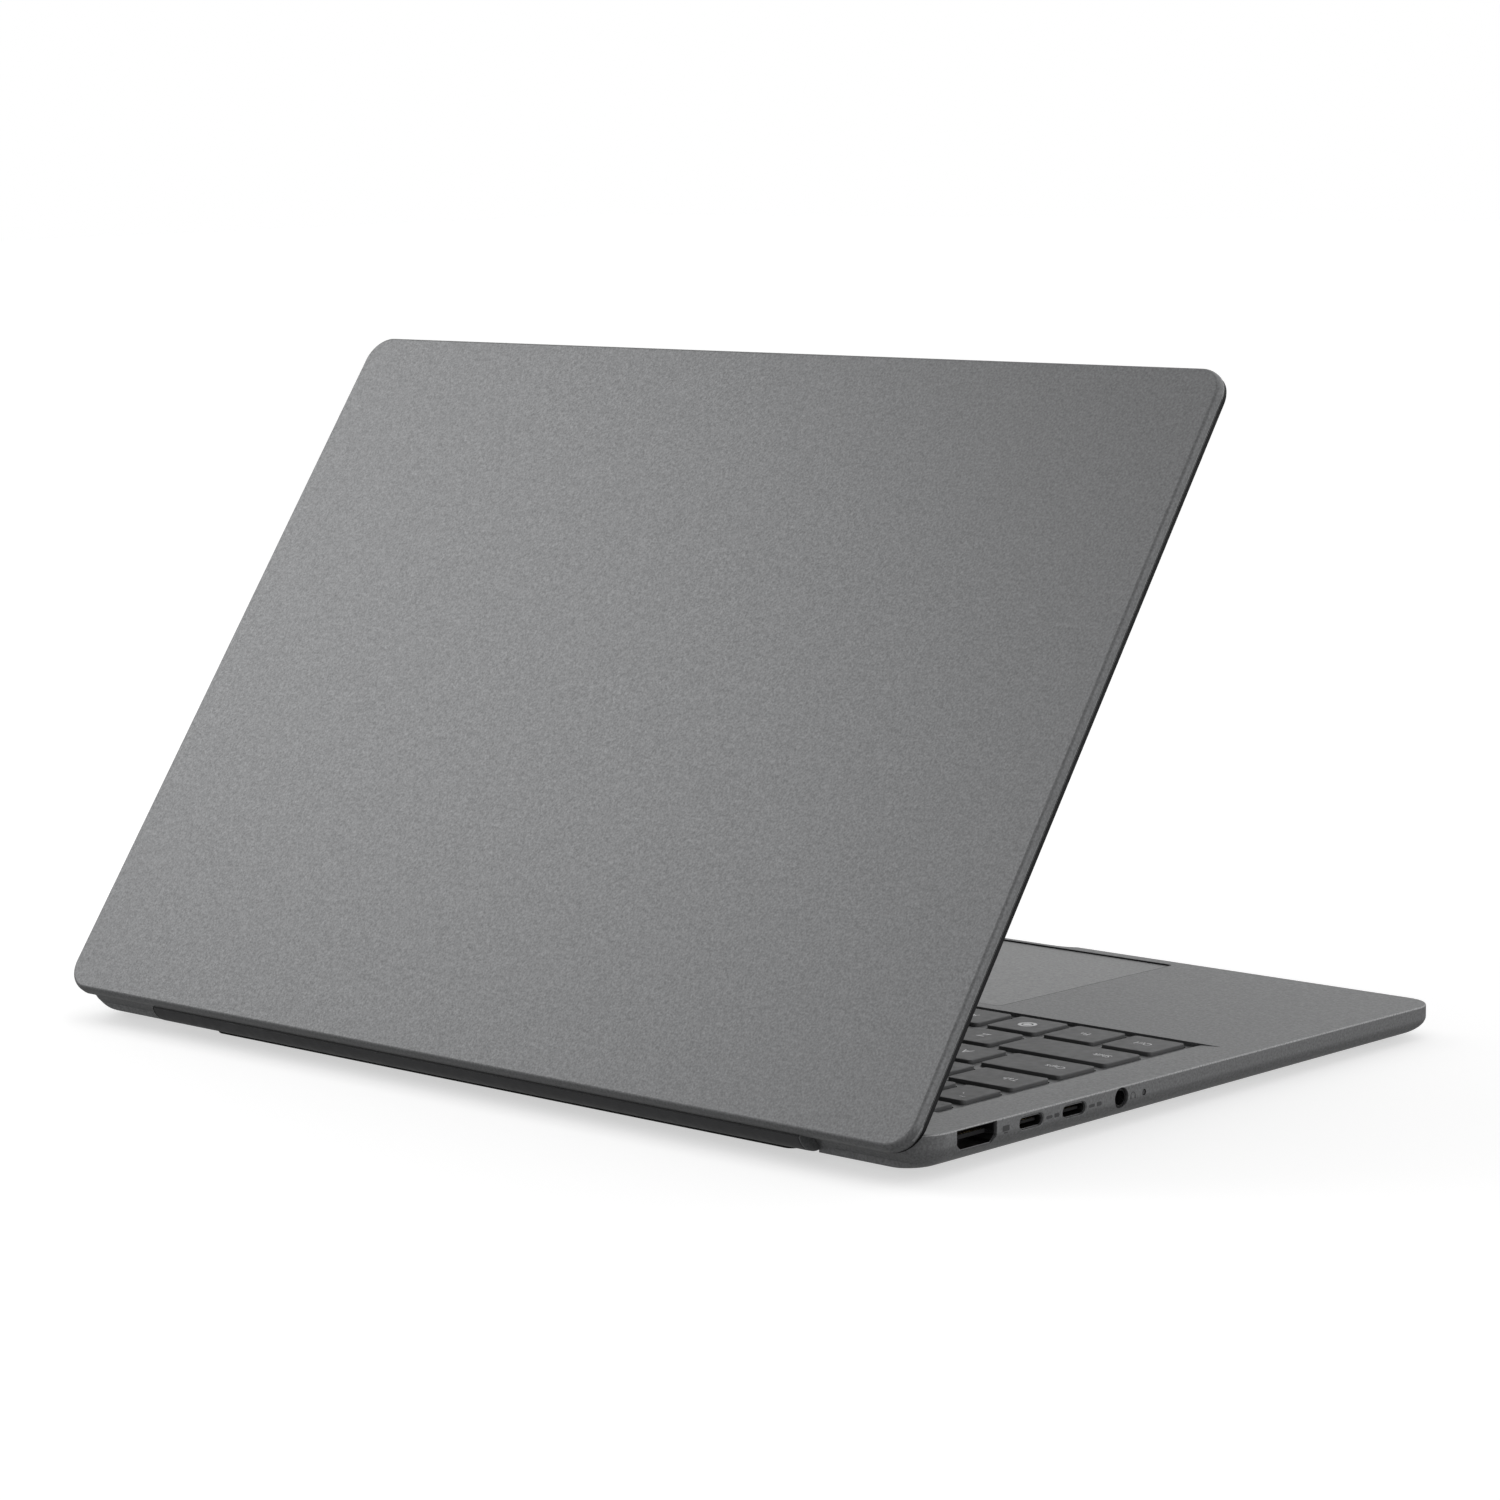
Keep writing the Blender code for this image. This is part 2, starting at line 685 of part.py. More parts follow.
def fan():
    x, y = FAN
    low = FAN_LOW + FAN_WALL
    high = FAN_HIGH - FAN_WALL
    outline = rounded(x - 29, x + 29, y - 29, y + 32, 5, 4)
    house = slab("fan_housing", outline, FAN_LOW, FAN_HIGH, "black_plastic")
    cut(house, rod("fan_room", (x, y, 0), 26.0, low, high, "Z", sides=48))
    cut(house, box("fan_outlet", (x - 24, y + 4, low), (x + 24, y + 40, high)))
    cut(house, rod("fan_intake", (x, y, 0), 15.0, FAN_LOW - 2, low + 0.3, "Z", sides=32))
    join(house, rod("fan_axle", (x, y, 0), 1.3, low + 0.5, high + 0.2, "Z", sides=12))
    rotor = slab("fan_rotor", rotor_outline(x, y), low + 0.35, high - 0.4, "black_plastic")
    cut(rotor, rod("rotor_bore", (x, y, 0), 1.7, -12, 0, "Z", sides=16))


def rotor_outline(x, y):
    """A round hub with swept blades."""
    hub, middle, tip = 10.0, 17.0, 24.5
    blade = ((hub, 0.0), (middle, 9.0), (tip, 14.0), (tip, 17.0), (middle, 12.5), (hub, 5.0))
    outline = []
    for i in range(BLADES):
        for radius, turn in blade:
            angle = radians(360 * i / BLADES + turn)
            outline.append((x + radius * cos(angle), y + radius * sin(angle)))
    return outline


def cells_and_cards():
    pack = box("battery_pack", (-118, 14, -6.75), (118, 82, -3.75), "battery_foil", round_edges=0.5)
    seams = [((x - 0.5, 10, -7.5), (x + 0.5, 90, -6.45)) for x in (-59, 0, 59)]
    cut(pack, boxes("cell_seams", seams))
    box("ssd_card", (-112, 162, -6.9), (-32, 184, -5.3), "board_green", round_edges=0.1)
    box("wifi_card", (-136, 98, -6.3), (-106, 120, -5.3), "board_green", round_edges=0.1)
    for side, hand in SIDES:
        x = sorted((side * 123.0, side * 143.5))
        box(f"speaker_{hand}", (x[0], 16, -6.6), (x[1], 72, -2.0), "black_plastic", round_edges=0.8)
    box("io_board", (124, 118, -5.0), (143, 160, -4.4), "board_green")
    outline = [(50.4, 100), (133, 100), (133, 117.4), (125, 117.4), (125, 108), (50.4, 108)]
    slab("io_ribbon", outline, -4.75, -4.5, "ribbon")


# Hinge ----------------------------------------------------------------------------------------


def hinges():
    for side, hand in SIDES:
        bracket(side, hand)
        leaf(side, hand)
        on_axis(f"hinge_pin_{hand}", PIN, side, (66.0, 136.5), "steel", LID)


def on_axis(name, radius, side, span, colour=None, frame=None):
    """A rod on the hinge axis, between two distances from the middle on one side."""
    low, high = sorted((side * span[0], side * span[1]))
    return rod(name, (0, AXIS_Y, AXIS_Z), radius, low, high, "X", colour, frame, sides=20)


def across(name, side, span, low, high, frame=None):
    """A block between two distances from the middle on one side, and two (y, z) corners."""
    left, right = sorted((side * span[0], side * span[1]))
    return box(name, (left, *low), (right, *high), frame=frame)


def bracket(side, hand):
    """A sleeve in the ear with an arm to a plate that is fixed under the deck."""
    sleeve = on_axis(f"hinge_bracket_{hand}", SLEEVE, side, (122.0, 137.0), "steel")
    arm_end = (AXIS_Y - 0.4, -2.2)
    join(sleeve, across(f"bracket_arm_{hand}", side, (125.0, 134.0), (191, -3.4), arm_end))
    cut(sleeve, on_axis(f"sleeve_bore_{hand}", PIN_BORE, side, (120, 150)))


def leaf(side, hand):
    """A plate in the lid with an arm down to an eye around the pin."""
    eye = on_axis(f"hinge_leaf_{hand}", 1.9, side, (70.0, 80.0), "steel", LID)
    arm = ((AXIS_Y - 0.6, AXIS_Z + 0.5), (AXIS_Y + 0.6, 2.2))
    join(eye, across(f"leaf_arm_{hand}", side, (70.0, 80.0), *arm, LID))
    plate = ((202.4, 1.5), (AXIS_Y + 0.6, 2.3))
    join(eye, across(f"leaf_plate_{hand}", side, (68.0, 105.0), *plate, LID))
    cut(eye, on_axis(f"eye_bore_{hand}", PIN_BORE, side, (60, 90), frame=LID))


def hinge_cover():
    """The dark strip between the ears: round about the axis, flat under the lid, with a lip."""
    top = -0.05
    lip_front, lip_top = 213.6, 1.2
    flat = degrees(asin((top - AXIS_Z) / STRIP_RADIUS))
    lip = degrees(asin((lip_top - AXIS_Z) / STRIP_RADIUS))
    outline = arc((AXIS_Y, AXIS_Z), STRIP_RADIUS, 180 - flat, 360 + lip, 32)
    outline += [(lip_front, lip_top), (lip_front, top)]
    body = slab("hinge_cover", outline, -STRIP_END, STRIP_END, "black_plastic", LID, "X")
    for side, hand in SIDES:
        cut(body, on_axis(f"cover_bore_{hand}", 1.2, side, (64.0, STRIP_END + 2), frame=LID))
        pocket = ((AXIS_Y - 2.3, AXIS_Z - 2.3), (AXIS_Y + 2.3, 2))
        cut(body, across(f"eye_room_{hand}", side, (69.0, 81.0), *pocket, LID))


# Lid ------------------------------------------------------------------------------------------


def lid_outline(inset):
    corner = LID_CORNER - inset * 0.8
    return rounded(-HALF + inset, HALF - inset, inset, LID_DEPTH - inset, corner)


def lid_ring(inset, z):
    return [(x, y, z) for x, y in lid_outline(inset)]


def lid_cover():
    rings = ((0.0, 1.25), (0.0, 4.0), (0.12, 4.35), (0.55, LID_TOP))
    body = loft("lid_cover", [lid_ring(*ring) for ring in rings], "anodised_grey", LID)
    cut(body, slab("lid_room", lid_outline(1.2), 0, 3.7, frame=LID))


def bezel():
    body = slab("bezel_frame", lid_outline(0.35), 0.6, 1.12, "black_plastic", LID)
    cut(body, box("screen_window", (-150.8, 7.5, 0), (150.8, 196.0, 2), frame=LID))
    cut(body, rod("camera_window", (0, 4.0, 0), 1.6, 0, 2, "Z", frame=LID, sides=20))
    for side, hand in SIDES:
        slot = ((AXIS_Y - 1.1, 0), (AXIS_Y + 1.1, 2))
        cut(body, across(f"leaf_slot_{hand}", side, (69.5, 80.5), *slot, LID))
    ring = slab("lid_gasket", lid_outline(0.5), 0.2, 0.5, "rubber", LID)
    inner = rounded(-HALF + 1.9, HALF - 1.9, 1.9, 201.0, 6.5, 5)
    cut(ring, slab("gasket_middle", inner, -1, 1, frame=LID))
    cut(ring, box("gasket_end", (-130, 200, -1), (130, 220, 1), frame=LID))


def screen():
    outline = rounded(-153.2, 153.2, 6.6, 200.0, 1.5, 3)
    slab("display_panel", outline, 1.25, 3.2, "screen_glass", LID)
    board = box("webcam_module", (-26, 2.2, 1.5), (26, 5.9, 2.9), "board_green", LID)
    join(board, rod("webcam_lens", (0, 4.0, 0), 1.2, 1.2, 2.0, "Z", frame=LID, sides=20))


def build():
    top_case()
    bottom_cover()
    bottom_screws()
    feet()
    keys()
    keyboard_plate()
    touchpad()
    mainboard()
    cooling()
    fan()
    cells_and_cards()
    hinges()
    hinge_cover()
    lid_cover()
    bezel()
    screen()


build()
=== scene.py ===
"""Looks for a slim 14-inch laptop with its lid part open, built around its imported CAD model.

Shapes are drawn in millimetres in one of two frames taken from the CAD solids. In both, x runs to
the user's right from the middle and y runs back towards the hinge. In the deck frame z is 0 on the
deck. In the lid frame z is 0 on the lid's outer face, and y is 0 at the edge away from the hinge.
"""

import json
from math import asin, cos, degrees, pi, radians, sin, sqrt

import bmesh
import bpy
from mathutils import Matrix, Vector


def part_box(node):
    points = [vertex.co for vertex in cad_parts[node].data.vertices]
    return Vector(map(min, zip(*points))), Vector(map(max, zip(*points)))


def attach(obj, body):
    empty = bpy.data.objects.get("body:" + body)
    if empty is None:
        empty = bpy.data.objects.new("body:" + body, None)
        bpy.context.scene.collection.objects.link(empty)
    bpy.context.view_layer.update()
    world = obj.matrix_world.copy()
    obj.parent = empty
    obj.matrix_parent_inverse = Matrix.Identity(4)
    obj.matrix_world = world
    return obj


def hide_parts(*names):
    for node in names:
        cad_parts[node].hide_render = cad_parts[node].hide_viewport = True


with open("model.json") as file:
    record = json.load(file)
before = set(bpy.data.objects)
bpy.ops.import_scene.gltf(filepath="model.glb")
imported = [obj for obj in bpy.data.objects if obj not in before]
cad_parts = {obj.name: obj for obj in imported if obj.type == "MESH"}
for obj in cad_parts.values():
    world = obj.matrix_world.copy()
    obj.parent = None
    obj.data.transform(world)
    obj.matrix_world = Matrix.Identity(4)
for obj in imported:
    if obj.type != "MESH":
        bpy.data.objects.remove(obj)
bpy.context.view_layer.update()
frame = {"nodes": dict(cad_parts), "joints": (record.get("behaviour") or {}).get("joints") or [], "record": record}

MM = 0.001
NODES = frame["nodes"]
ACROSS = Vector((1, 0, 0))

# Case, in the deck frame
CASE_CORNER = 9.5
EDGE_ROUND = 0.4
WALL_DROP = 3.2  # upright part of the case wall
UNDER_RUN = 8.0  # how far the underside curve runs inwards
REAR_RUN = 4.0
FRONT_THICK = 7.9
THICK_GAIN = 1.3 / 200  # gain per millimetre towards the rear
CASE_REAR = 212.0
COVER_INSET = 9.5
COVER_REAR = 194.6
BARREL = 2.5
STRIP_RADIUS = 6.2
FULL_OPEN = 130.0
WELL_MIDDLE = 0.2  # the middle of the keys, across
# Each end of the well runs up to the deck: distance out from the middle, and height
WELL_RAMP = (
    (137.5, -1.1), (138.0, -0.98), (138.5, -0.78), (138.9, -0.62), (139.4, -0.46), (140.0, -0.34),
    (140.8, -0.26), (142.0, -0.19), (143.2, -0.14), (144.8, -0.07), (146.6, 0.004),
)
GAP = 0.4  # around the touchpad
KEY_CLEAR = 0.35
KEY_GAP = 3.04
KEY_CORNER = 1.1

# Lid, in the lid frame
LID_CORNER = 8.0
RIM_LIFT = 0.85  # how far the black border shows above the metal's CAD edge


def spread(node, direction):
    """The lowest and highest reach of a CAD node along a direction."""
    reach = [direction.dot(vertex.co) for vertex in NODES[node].data.vertices]
    return min(reach), max(reach)


def frame_on(node, up):
    """A frame with z along up, whose z is 0 on the node's top and y is 0 at its front."""
    back = up.cross(ACROSS)
    origin = back * spread(node, back)[0] + up * spread(node, up)[1]
    turn = Matrix((ACROSS, back, up)).transposed().to_4x4()
    return Matrix.Translation(origin) @ turn @ Matrix.Diagonal((MM, MM, MM, 1))


def joint(name):
    return next(each for each in frame["joints"] if each["name"] == name)


def widest_face(node):
    return max(NODES[node].data.polygons, key=lambda face: face.area).normal.copy()


DECK = frame_on("top_case", -Vector(joint("touchpad_press")["axis"]))


def lid_normal():
    """The outward normal of the lid: the side of its widest face that is away from the screen."""
    normal = widest_face("lid_cover")
    cover, screen = (sum(spread(node, normal)) for node in ("lid_cover", "display_panel"))
    return normal if cover > screen else -normal


LID = frame_on("lid_cover", lid_normal())
HINGE = DECK.inverted() @ Vector(joint("lid_hinge")["pos_m"])  # the axis, in the deck frame
LID_HINGE = LID.inverted() @ Vector(joint("lid_hinge")["pos_m"])


def span(node, place=DECK):
    """The low and high corners of a CAD node in a frame, in millimetres."""
    inverse = place.inverted()
    points = [inverse @ vertex.co for vertex in NODES[node].data.vertices]
    low = Vector(min(point[i] for point in points) for i in range(3))
    high = Vector(max(point[i] for point in points) for i in range(3))
    return low, high


HALF = span("top_case")[1].x
LID_DEPTH = span("lid_cover", LID)[1].y

# Materials ------------------------------------------------------------------------------------


class Surface:
    """A material with a Principled shader, whose noise runs on the piece's own coordinates."""

    def __init__(self, name, colour, roughness, metallic=0.0, **values):
        self.material = bpy.data.materials.new(name)
        self.material.use_nodes = True
        self.nodes = self.material.node_tree.nodes
        self.shader = self.nodes["Principled BSDF"]
        self.colour = colour
        self.roughness = roughness
        self.set("Base Color", (*colour, 1))
        self.set("Roughness", roughness)
        self.set("Metallic", metallic)
        for socket, value in values.items():
            self.set(socket.replace("_", " "), value)
        self.place = self.nodes.new("ShaderNodeTexCoord").outputs["Object"]

    def set(self, socket, value):
        self.shader.inputs[socket].default_value = value

    def link(self, source, target):
        self.material.node_tree.links.new(source, target)

    def noise(self, scale, detail=2.0, stretch=None):
        """Noise with about that many cells in a metre."""
        place = self.place
        if stretch:
            mapping = self.nodes.new("ShaderNodeMapping")
            mapping.inputs["Scale"].default_value = stretch
            self.link(place, mapping.inputs["Vector"])
            place = mapping.outputs["Vector"]
        node = self.nodes.new("ShaderNodeTexNoise")
        node.inputs["Scale"].default_value = scale
        node.inputs["Detail"].default_value = detail
        self.link(place, node.inputs["Vector"])
        return node.outputs["Fac"]

    def ramp(self, value, low, high, to_low, to_high):
        node = self.nodes.new("ShaderNodeMapRange")
        node.inputs["From Min"].default_value = low
        node.inputs["From Max"].default_value = high
        node.inputs["To Min"].default_value = to_low
        node.inputs["To Max"].default_value = to_high
        self.link(value, node.inputs["Value"])
        return node.outputs["Result"]

    def tint(self, value, dark, light):
        """Varies the colour between dark and light times itself."""
        node = self.nodes.new("ShaderNodeMix")
        node.data_type = "RGBA"
        node.inputs["A"].default_value = (*(part * dark for part in self.colour), 1)
        node.inputs["B"].default_value = (*(part * light for part in self.colour), 1)
        self.link(value, node.inputs["Factor"])
        self.link(node.outputs["Result"], self.shader.inputs["Base Color"])

    def vary_roughness(self, value, by):
        rough = self.ramp(value, 0.3, 0.7, self.roughness - by, self.roughness + by)
        self.link(rough, self.shader.inputs["Roughness"])

    def bump(self, value, depth):
        node = self.nodes.new("ShaderNodeBump")
        node.inputs["Distance"].default_value = depth * MM
        self.link(value, node.inputs["Height"])
        self.link(node.outputs["Normal"], self.shader.inputs["Normal"])


def blasted_metal(name, colour, roughness=0.42, metallic=0.55):
    """Anodised sheet that was bead blasted: a fine even grain that sparkles a little."""
    made = Surface(name, colour, roughness, metallic)
    grain = made.noise(1700, 4.0)
    made.tint(made.ramp(grain, 0.3, 0.7, 0.0, 1.0), 0.76, 1.24)
    made.vary_roughness(made.noise(900, 2.0), 0.05)
    made.bump(grain, 0.006)
    return made.material


def moulded(name, colour, roughness=0.5, grain_depth=0.006, grain=1800, shine=0.5):
    """Moulded plastic with a fine spark-eroded texture."""
    made = Surface(name, colour, roughness, Specular_IOR_Level=shine)
    texture = made.noise(grain, 3.0)
    made.tint(made.ramp(made.noise(120, 2.0), 0.3, 0.7, 0.0, 1.0), 0.93, 1.07)
    made.vary_roughness(made.noise(400, 2.0), 0.06)
    made.bump(texture, grain_depth)
    return made.material


def rubber(name, colour):
    made = Surface(name, colour, 0.8, Specular_IOR_Level=0.15)
    made.tint(made.ramp(made.noise(500, 4.0), 0.3, 0.7, 0.0, 1.0), 0.8, 1.25)
    made.bump(made.noise(2200, 4.0), 0.02)
    return made.material


def polished(name, colour, roughness, metallic=0.0, **values):
    """Glass or glossy plastic with faint smears."""
    made = Surface(name, colour, roughness, metallic, **values)
    smears = made.noise(25, 5.0, (1.0, 1.0, 3.0))
    made.tint(smears, 0.9, 1.1)
    low, high = roughness * 0.7, roughness * 1.6
    made.link(made.ramp(smears, 0.35, 0.75, low, high), made.shader.inputs["Roughness"])
    return made.material


def brushed(name, colour, roughness=0.35):
    """Sheet or turned metal with fine lines from rolling."""
    made = Surface(name, colour, roughness, 1.0)
    lines = made.noise(900, 3.0, (0.06, 1.0, 1.0))
    made.tint(lines, 0.8, 1.15)
    made.vary_roughness(lines, 0.08)
    made.bump(lines, 0.004)
    return made.material


def board(name, colour):
    """A circuit board: solder resist over faint tracks, with small pale pads."""
    made = Surface(name, colour, 0.4)
    cells = made.nodes.new("ShaderNodeTexVoronoi")
    cells.distance = "CHEBYCHEV"
    cells.inputs["Scale"].default_value = 420
    made.link(made.place, cells.inputs["Vector"])
    made.tint(made.ramp(cells.outputs["Distance"], 0.1, 0.5, 1.0, 0.0), 0.6, 1.9)
    made.bump(cells.outputs["Distance"], 0.03)
    return made.material


CASE = blasted_metal("anodised_grey", (0.175, 0.177, 0.18))
# A smoother copy of the case metal for its edges, made lighter in colour as a painted highlight.
PAINTED_EDGE_HIGHLIGHT = blasted_metal("smooth_edge_painted_highlight", (0.3, 0.303, 0.306), 0.3)
PAD = blasted_metal("touchpad_film", (0.178, 0.18, 0.183), 0.34, 0.3)
BLACK = moulded("black_plastic", (0.014, 0.014, 0.015), shine=0.15)
STRIP = moulded("hinge_strip_plastic", (0.038, 0.038, 0.04), 0.5)
KEY = moulded("key_grey", (0.115, 0.116, 0.118), 0.55, 0.004)
LEGEND = moulded("legend_ink", (0.8, 0.8, 0.81), 0.6, 0.002)
MARK = moulded("icon_ink", (0.05, 0.05, 0.052), 0.6, 0.002)
RUBBER = rubber("rubber", (0.012, 0.012, 0.012))
GLASS = polished("screen_glass", (0.004, 0.004, 0.005), 0.06)
MASK = polished("black_border", (0.006, 0.006, 0.006), 0.14)
LENS = polished("camera_lens", (0.01, 0.008, 0.02), 0.03)
STEEL = brushed("steel", (0.55, 0.55, 0.56))
DARK_STEEL = brushed("port_steel", (0.22, 0.22, 0.225), 0.3)
GOLD = brushed("contact_gold", (0.75, 0.55, 0.25), 0.25)
COPPER = brushed("copper", (0.72, 0.38, 0.24), 0.3)
BOARD = board("board_green", (0.02, 0.11, 0.055))
FOIL = moulded("battery_foil", (0.03, 0.03, 0.035), 0.4, 0.03, 500)
RIBBON = polished("ribbon", (0.45, 0.28, 0.08), 0.35)
LAMP = polished("lamp_lens", (0.03, 0.03, 0.035), 0.25)

SLOTS = {
    "anodised_grey": CASE,
    "black_plastic": BLACK,
    "key_grey": KEY,
    "screen_glass": GLASS,
    "touchpad_glass": PAD,
    "rubber": RUBBER,
    "steel": STEEL,
    "board_green": BOARD,
    "battery_foil": FOIL,
    "copper": COPPER,
    "ribbon": RIBBON,
    "lamp_lens": LAMP,
}


def repaint():
    """Gives every CAD node the procedural material of its slot."""
    for entry in frame["record"]["subparts"]:
        materials = NODES[entry["node"]].data.materials
        materials.clear()
        materials.append(SLOTS[entry["material_slot"]])


# Mesh tools -----------------------------------------------------------------------------------


def finished(name, shape, material, place=DECK):
    """An object from a bmesh drawn in millimetres of a frame."""
    bmesh.ops.transform(shape, matrix=place, verts=shape.verts)
    bmesh.ops.recalc_face_normals(shape, faces=shape.faces)
    mesh = bpy.data.meshes.new(name)
    shape.to_mesh(mesh)
    shape.free()
    made = bpy.data.objects.new(name, mesh)
    bpy.context.scene.collection.objects.link(made)
    if material:
        mesh.materials.append(material)
    return made


def smooth(piece, angle=32):
    """Round surfaces shade smoothly, and wide flat faces keep their own normal."""
    piece.data.shade_smooth()
    piece.data.set_sharp_from_angle(angle=radians(angle))
    weighted = piece.modifiers.new("flat_faces_first", "WEIGHTED_NORMAL")
    weighted.keep_sharp = True
    weighted.weight = 100
    return piece


def skin(shape, rings):
    """Adds a closed skin through rings of matching points to a bmesh."""
    rows = [[shape.verts.new(point) for point in ring] for ring in rings]
    for lower, upper in zip(rows, rows[1:]):
        for i in range(len(lower)):
            j = (i + 1) % len(lower)
            shape.faces.new((lower[i], lower[j], upper[j], upper[i]))
    shape.faces.new(rows[0])
    shape.faces.new(rows[-1])


def arc(centre, radius, start, end, steps):
    angles = [radians(start + (end - start) * i / steps) for i in range(steps + 1)]
    return [(centre[0] + radius * cos(a), centre[1] + radius * sin(a)) for a in angles]


def circle(centre, radius, sides=32):
    return arc(centre, radius, 0, 360, sides)[:-1]


def rounded(x0, x1, y0, y1, radius, steps=8):
    return (
        arc((x1 - radius, y0 + radius), radius, -90, 0, steps)
        + arc((x1 - radius, y1 - radius), radius, 0, 90, steps)
        + arc((x0 + radius, y1 - radius), radius, 90, 180, steps)
        + arc((x0 + radius, y0 + radius), radius, 180, 270, steps)
    )


TURNS = {
    # how an outline's two axes and its thickness lie in the frame, for each direction
    "Z": lambda a, b, t: (a, b, t),
    "X": lambda a, b, t: (t, a, b),
    "Y": lambda a, b, t: (a, t, b),
}


def prism(shape, outline, low, high, along="Z"):
    turn = TURNS[along]
    skin(shape, [[turn(a, b, t) for a, b in outline] for t in (low, high)])


def block(shape, low, high):
    middle = (Vector(low) + Vector(high)) / 2
    size = Matrix.Diagonal((*(Vector(high) - Vector(low)), 1))
    bmesh.ops.create_cube(shape, size=1, matrix=Matrix.Translation(middle) @ size)


def rod(shape, centre, radius, low, high, along="X", sides=32):
    turn = {
        "X": Matrix.Rotation(pi / 2, 4, "Y"),
        "Y": Matrix.Rotation(-pi / 2, 4, "X"),
        "Z": Matrix.Identity(4),
    }[along]
    spot = Vector(centre)
    spot["XYZ".index(along)] = (low + high) / 2
    bmesh.ops.create_cone(
        shape,
        cap_ends=True,
        segments=sides,
        radius1=radius,
        radius2=radius,
        depth=high - low,
        matrix=Matrix.Translation(spot) @ turn,
    )


def rounded_plate(shape, low, high, corner, edge, steps=8):
    """A plate with round corners and a round upper edge."""
    rings = []
    profile = [(0.0, low[2])]
    for i in range(5):
        turn = i * pi / 8
        profile.append((edge * (1 - cos(turn)), high[2] - edge * (1 - sin(turn))))
    for inset, z in profile:
        radius = max(corner - inset, 0.02)
        sides = (low[0] + inset, high[0] - inset, low[1] + inset, high[1] - inset)
        outline = rounded(*sides, radius, steps)
        rings.append([(x, y, z) for x, y in outline])
    skin(shape, rings)


def baked(piece):
    """Replaces the piece's mesh with what its modifiers make of it."""
    graph = bpy.context.evaluated_depsgraph_get()
    mesh = bpy.data.meshes.new_from_object(piece.evaluated_get(graph))
    old = piece.data
    piece.modifiers.clear()
    piece.data = mesh
    bpy.data.meshes.remove(old)


def cut(piece, shapes, place=DECK):
    """Cuts bmeshes out of a piece, one after the other."""
    for shape in shapes:
        tool = finished("tool", shape, None, place)
        boolean = piece.modifiers.new("tool", "BOOLEAN")
        boolean.operation = "DIFFERENCE"
        boolean.object = tool
        boolean.solver = "EXACT"
        baked(piece)
        bpy.data.objects.remove(tool)


def drawn(add, *arguments, **options):
    """A new bmesh with one shape in it."""
    shape = bmesh.new()
    add(shape, *arguments, **options)
    return shape


def brighten(piece, place, low, high, slope):
    """Gives the narrow faces between two heights of a frame the edge's smoother finish, whose lighter colour is a
    painted highlight.
    """
    piece.data.materials.append(PAINTED_EDGE_HIGHLIGHT)
    inverse = place.inverted()
    up = place.to_3x3().col[2].normalized()
    for face in piece.data.polygons:
        level = (inverse @ face.center).z
        if low < level < high and slope <= abs(face.normal.dot(up)) < 0.97:
            face.material_index = 1


def put(piece, body, slot, *nodes):
    """Rides the piece on its body, and lets it stand for CAD nodes."""
    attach(piece, body)
    if nodes:
        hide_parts(*nodes)


# Keys -----------------------------------------------------------------------------------------

CAP_TALL = 1.9
CAP_EDGE = 0.28
LETTER_SIZE = 4.7
WORD_SIZE = 3.2
SHIFTED_SIZE = 3.0
SMALL_SIZE = 2.4  # on the low keys of the rear row
WIDE_CAP = 17  # caps wider than this have their word at the left
SHIFTED = dict(zip("`1234567890-=[]\\;',./", '~!@#$%^&*()_+{}|:"<>?'))
FUNCTION_LEGENDS = ["Esc"] + [f"F{i}" for i in range(1, 13)] + ["Del"]
KEYS = {
    # node: the widths of its caps in key units, and their legends
    "left_modifier_keys": ([1] * 4, ["Ctrl", "Fn", "ring", "Alt"]),
    "space_bar": ([5], [""]),
    "right_modifier_keys": ([1, 1.25], ["Alt", "Ctrl"]),
    "left_shift_key": ([2], ["Shift"]),
    "bottom_letter_keys": ([1] * 10, list("ZXCVBNM,./")),
    "right_shift_key": ([2.5], ["Shift"]),
    "caps_lock_key": ([1.5], ["Caps"]),
    "home_letter_keys": ([1] * 11, list("ASDFGHJKL;'")),
    "enter_key": ([2], ["Enter"]),
    "tab_key": ([1.25], ["Tab"]),
    "top_letter_keys": ([1] * 12 + [1.25], list("QWERTYUIOP[]\\")),
    "number_keys": ([0.75] + [1] * 12, list("`1234567890-=")),
    "backspace_key": ([1.75], ["Back"]),
    "function_keys": ([1] * 14, FUNCTION_LEGENDS),
    "power_key": ([1], ["power"]),
    "arrow_keys": ([1] * 3, ["left", "up", "right"]),
}


def cap_spans(node):
    """The left and right of each cap of a key node."""
    low, high = span(node)
    widths = KEYS[node][0]
    unit = (high.x - low.x + KEY_GAP) / sum(widths)
    left = low.x
    for width in widths:
        yield left, left + width * unit - KEY_GAP
        left += width * unit


def all_caps():
    """Every cap as its node, its number in the node, and its low and high corners."""
    for node in KEYS:
        low, high = span(node)
        for number, (left, right) in enumerate(cap_spans(node)):
            front, rear = low.y, high.y
            if node == "arrow_keys" and number == 1:
                middle = (front + rear) / 2
                yield node, "down", (left, front), (right, middle - 0.3)
                front = middle + 0.3
            yield node, number, (left, front), (right, rear)


def key_caps():
    top = {node: span(node)[1].z for node in KEYS}
    for node, number, (left, front), (right, rear) in all_caps():
        shape = bmesh.new()
        low = (left, front, top[node] - CAP_TALL)
        rounded_plate(shape, low, (right, rear, top[node]), KEY_CORNER, CAP_EDGE, 5)
        cap = finished(f"cap_{node}_{number}", shape, KEY)
        put(smooth(cap, 50), node, "key_grey", *([node] if number == 0 else []))


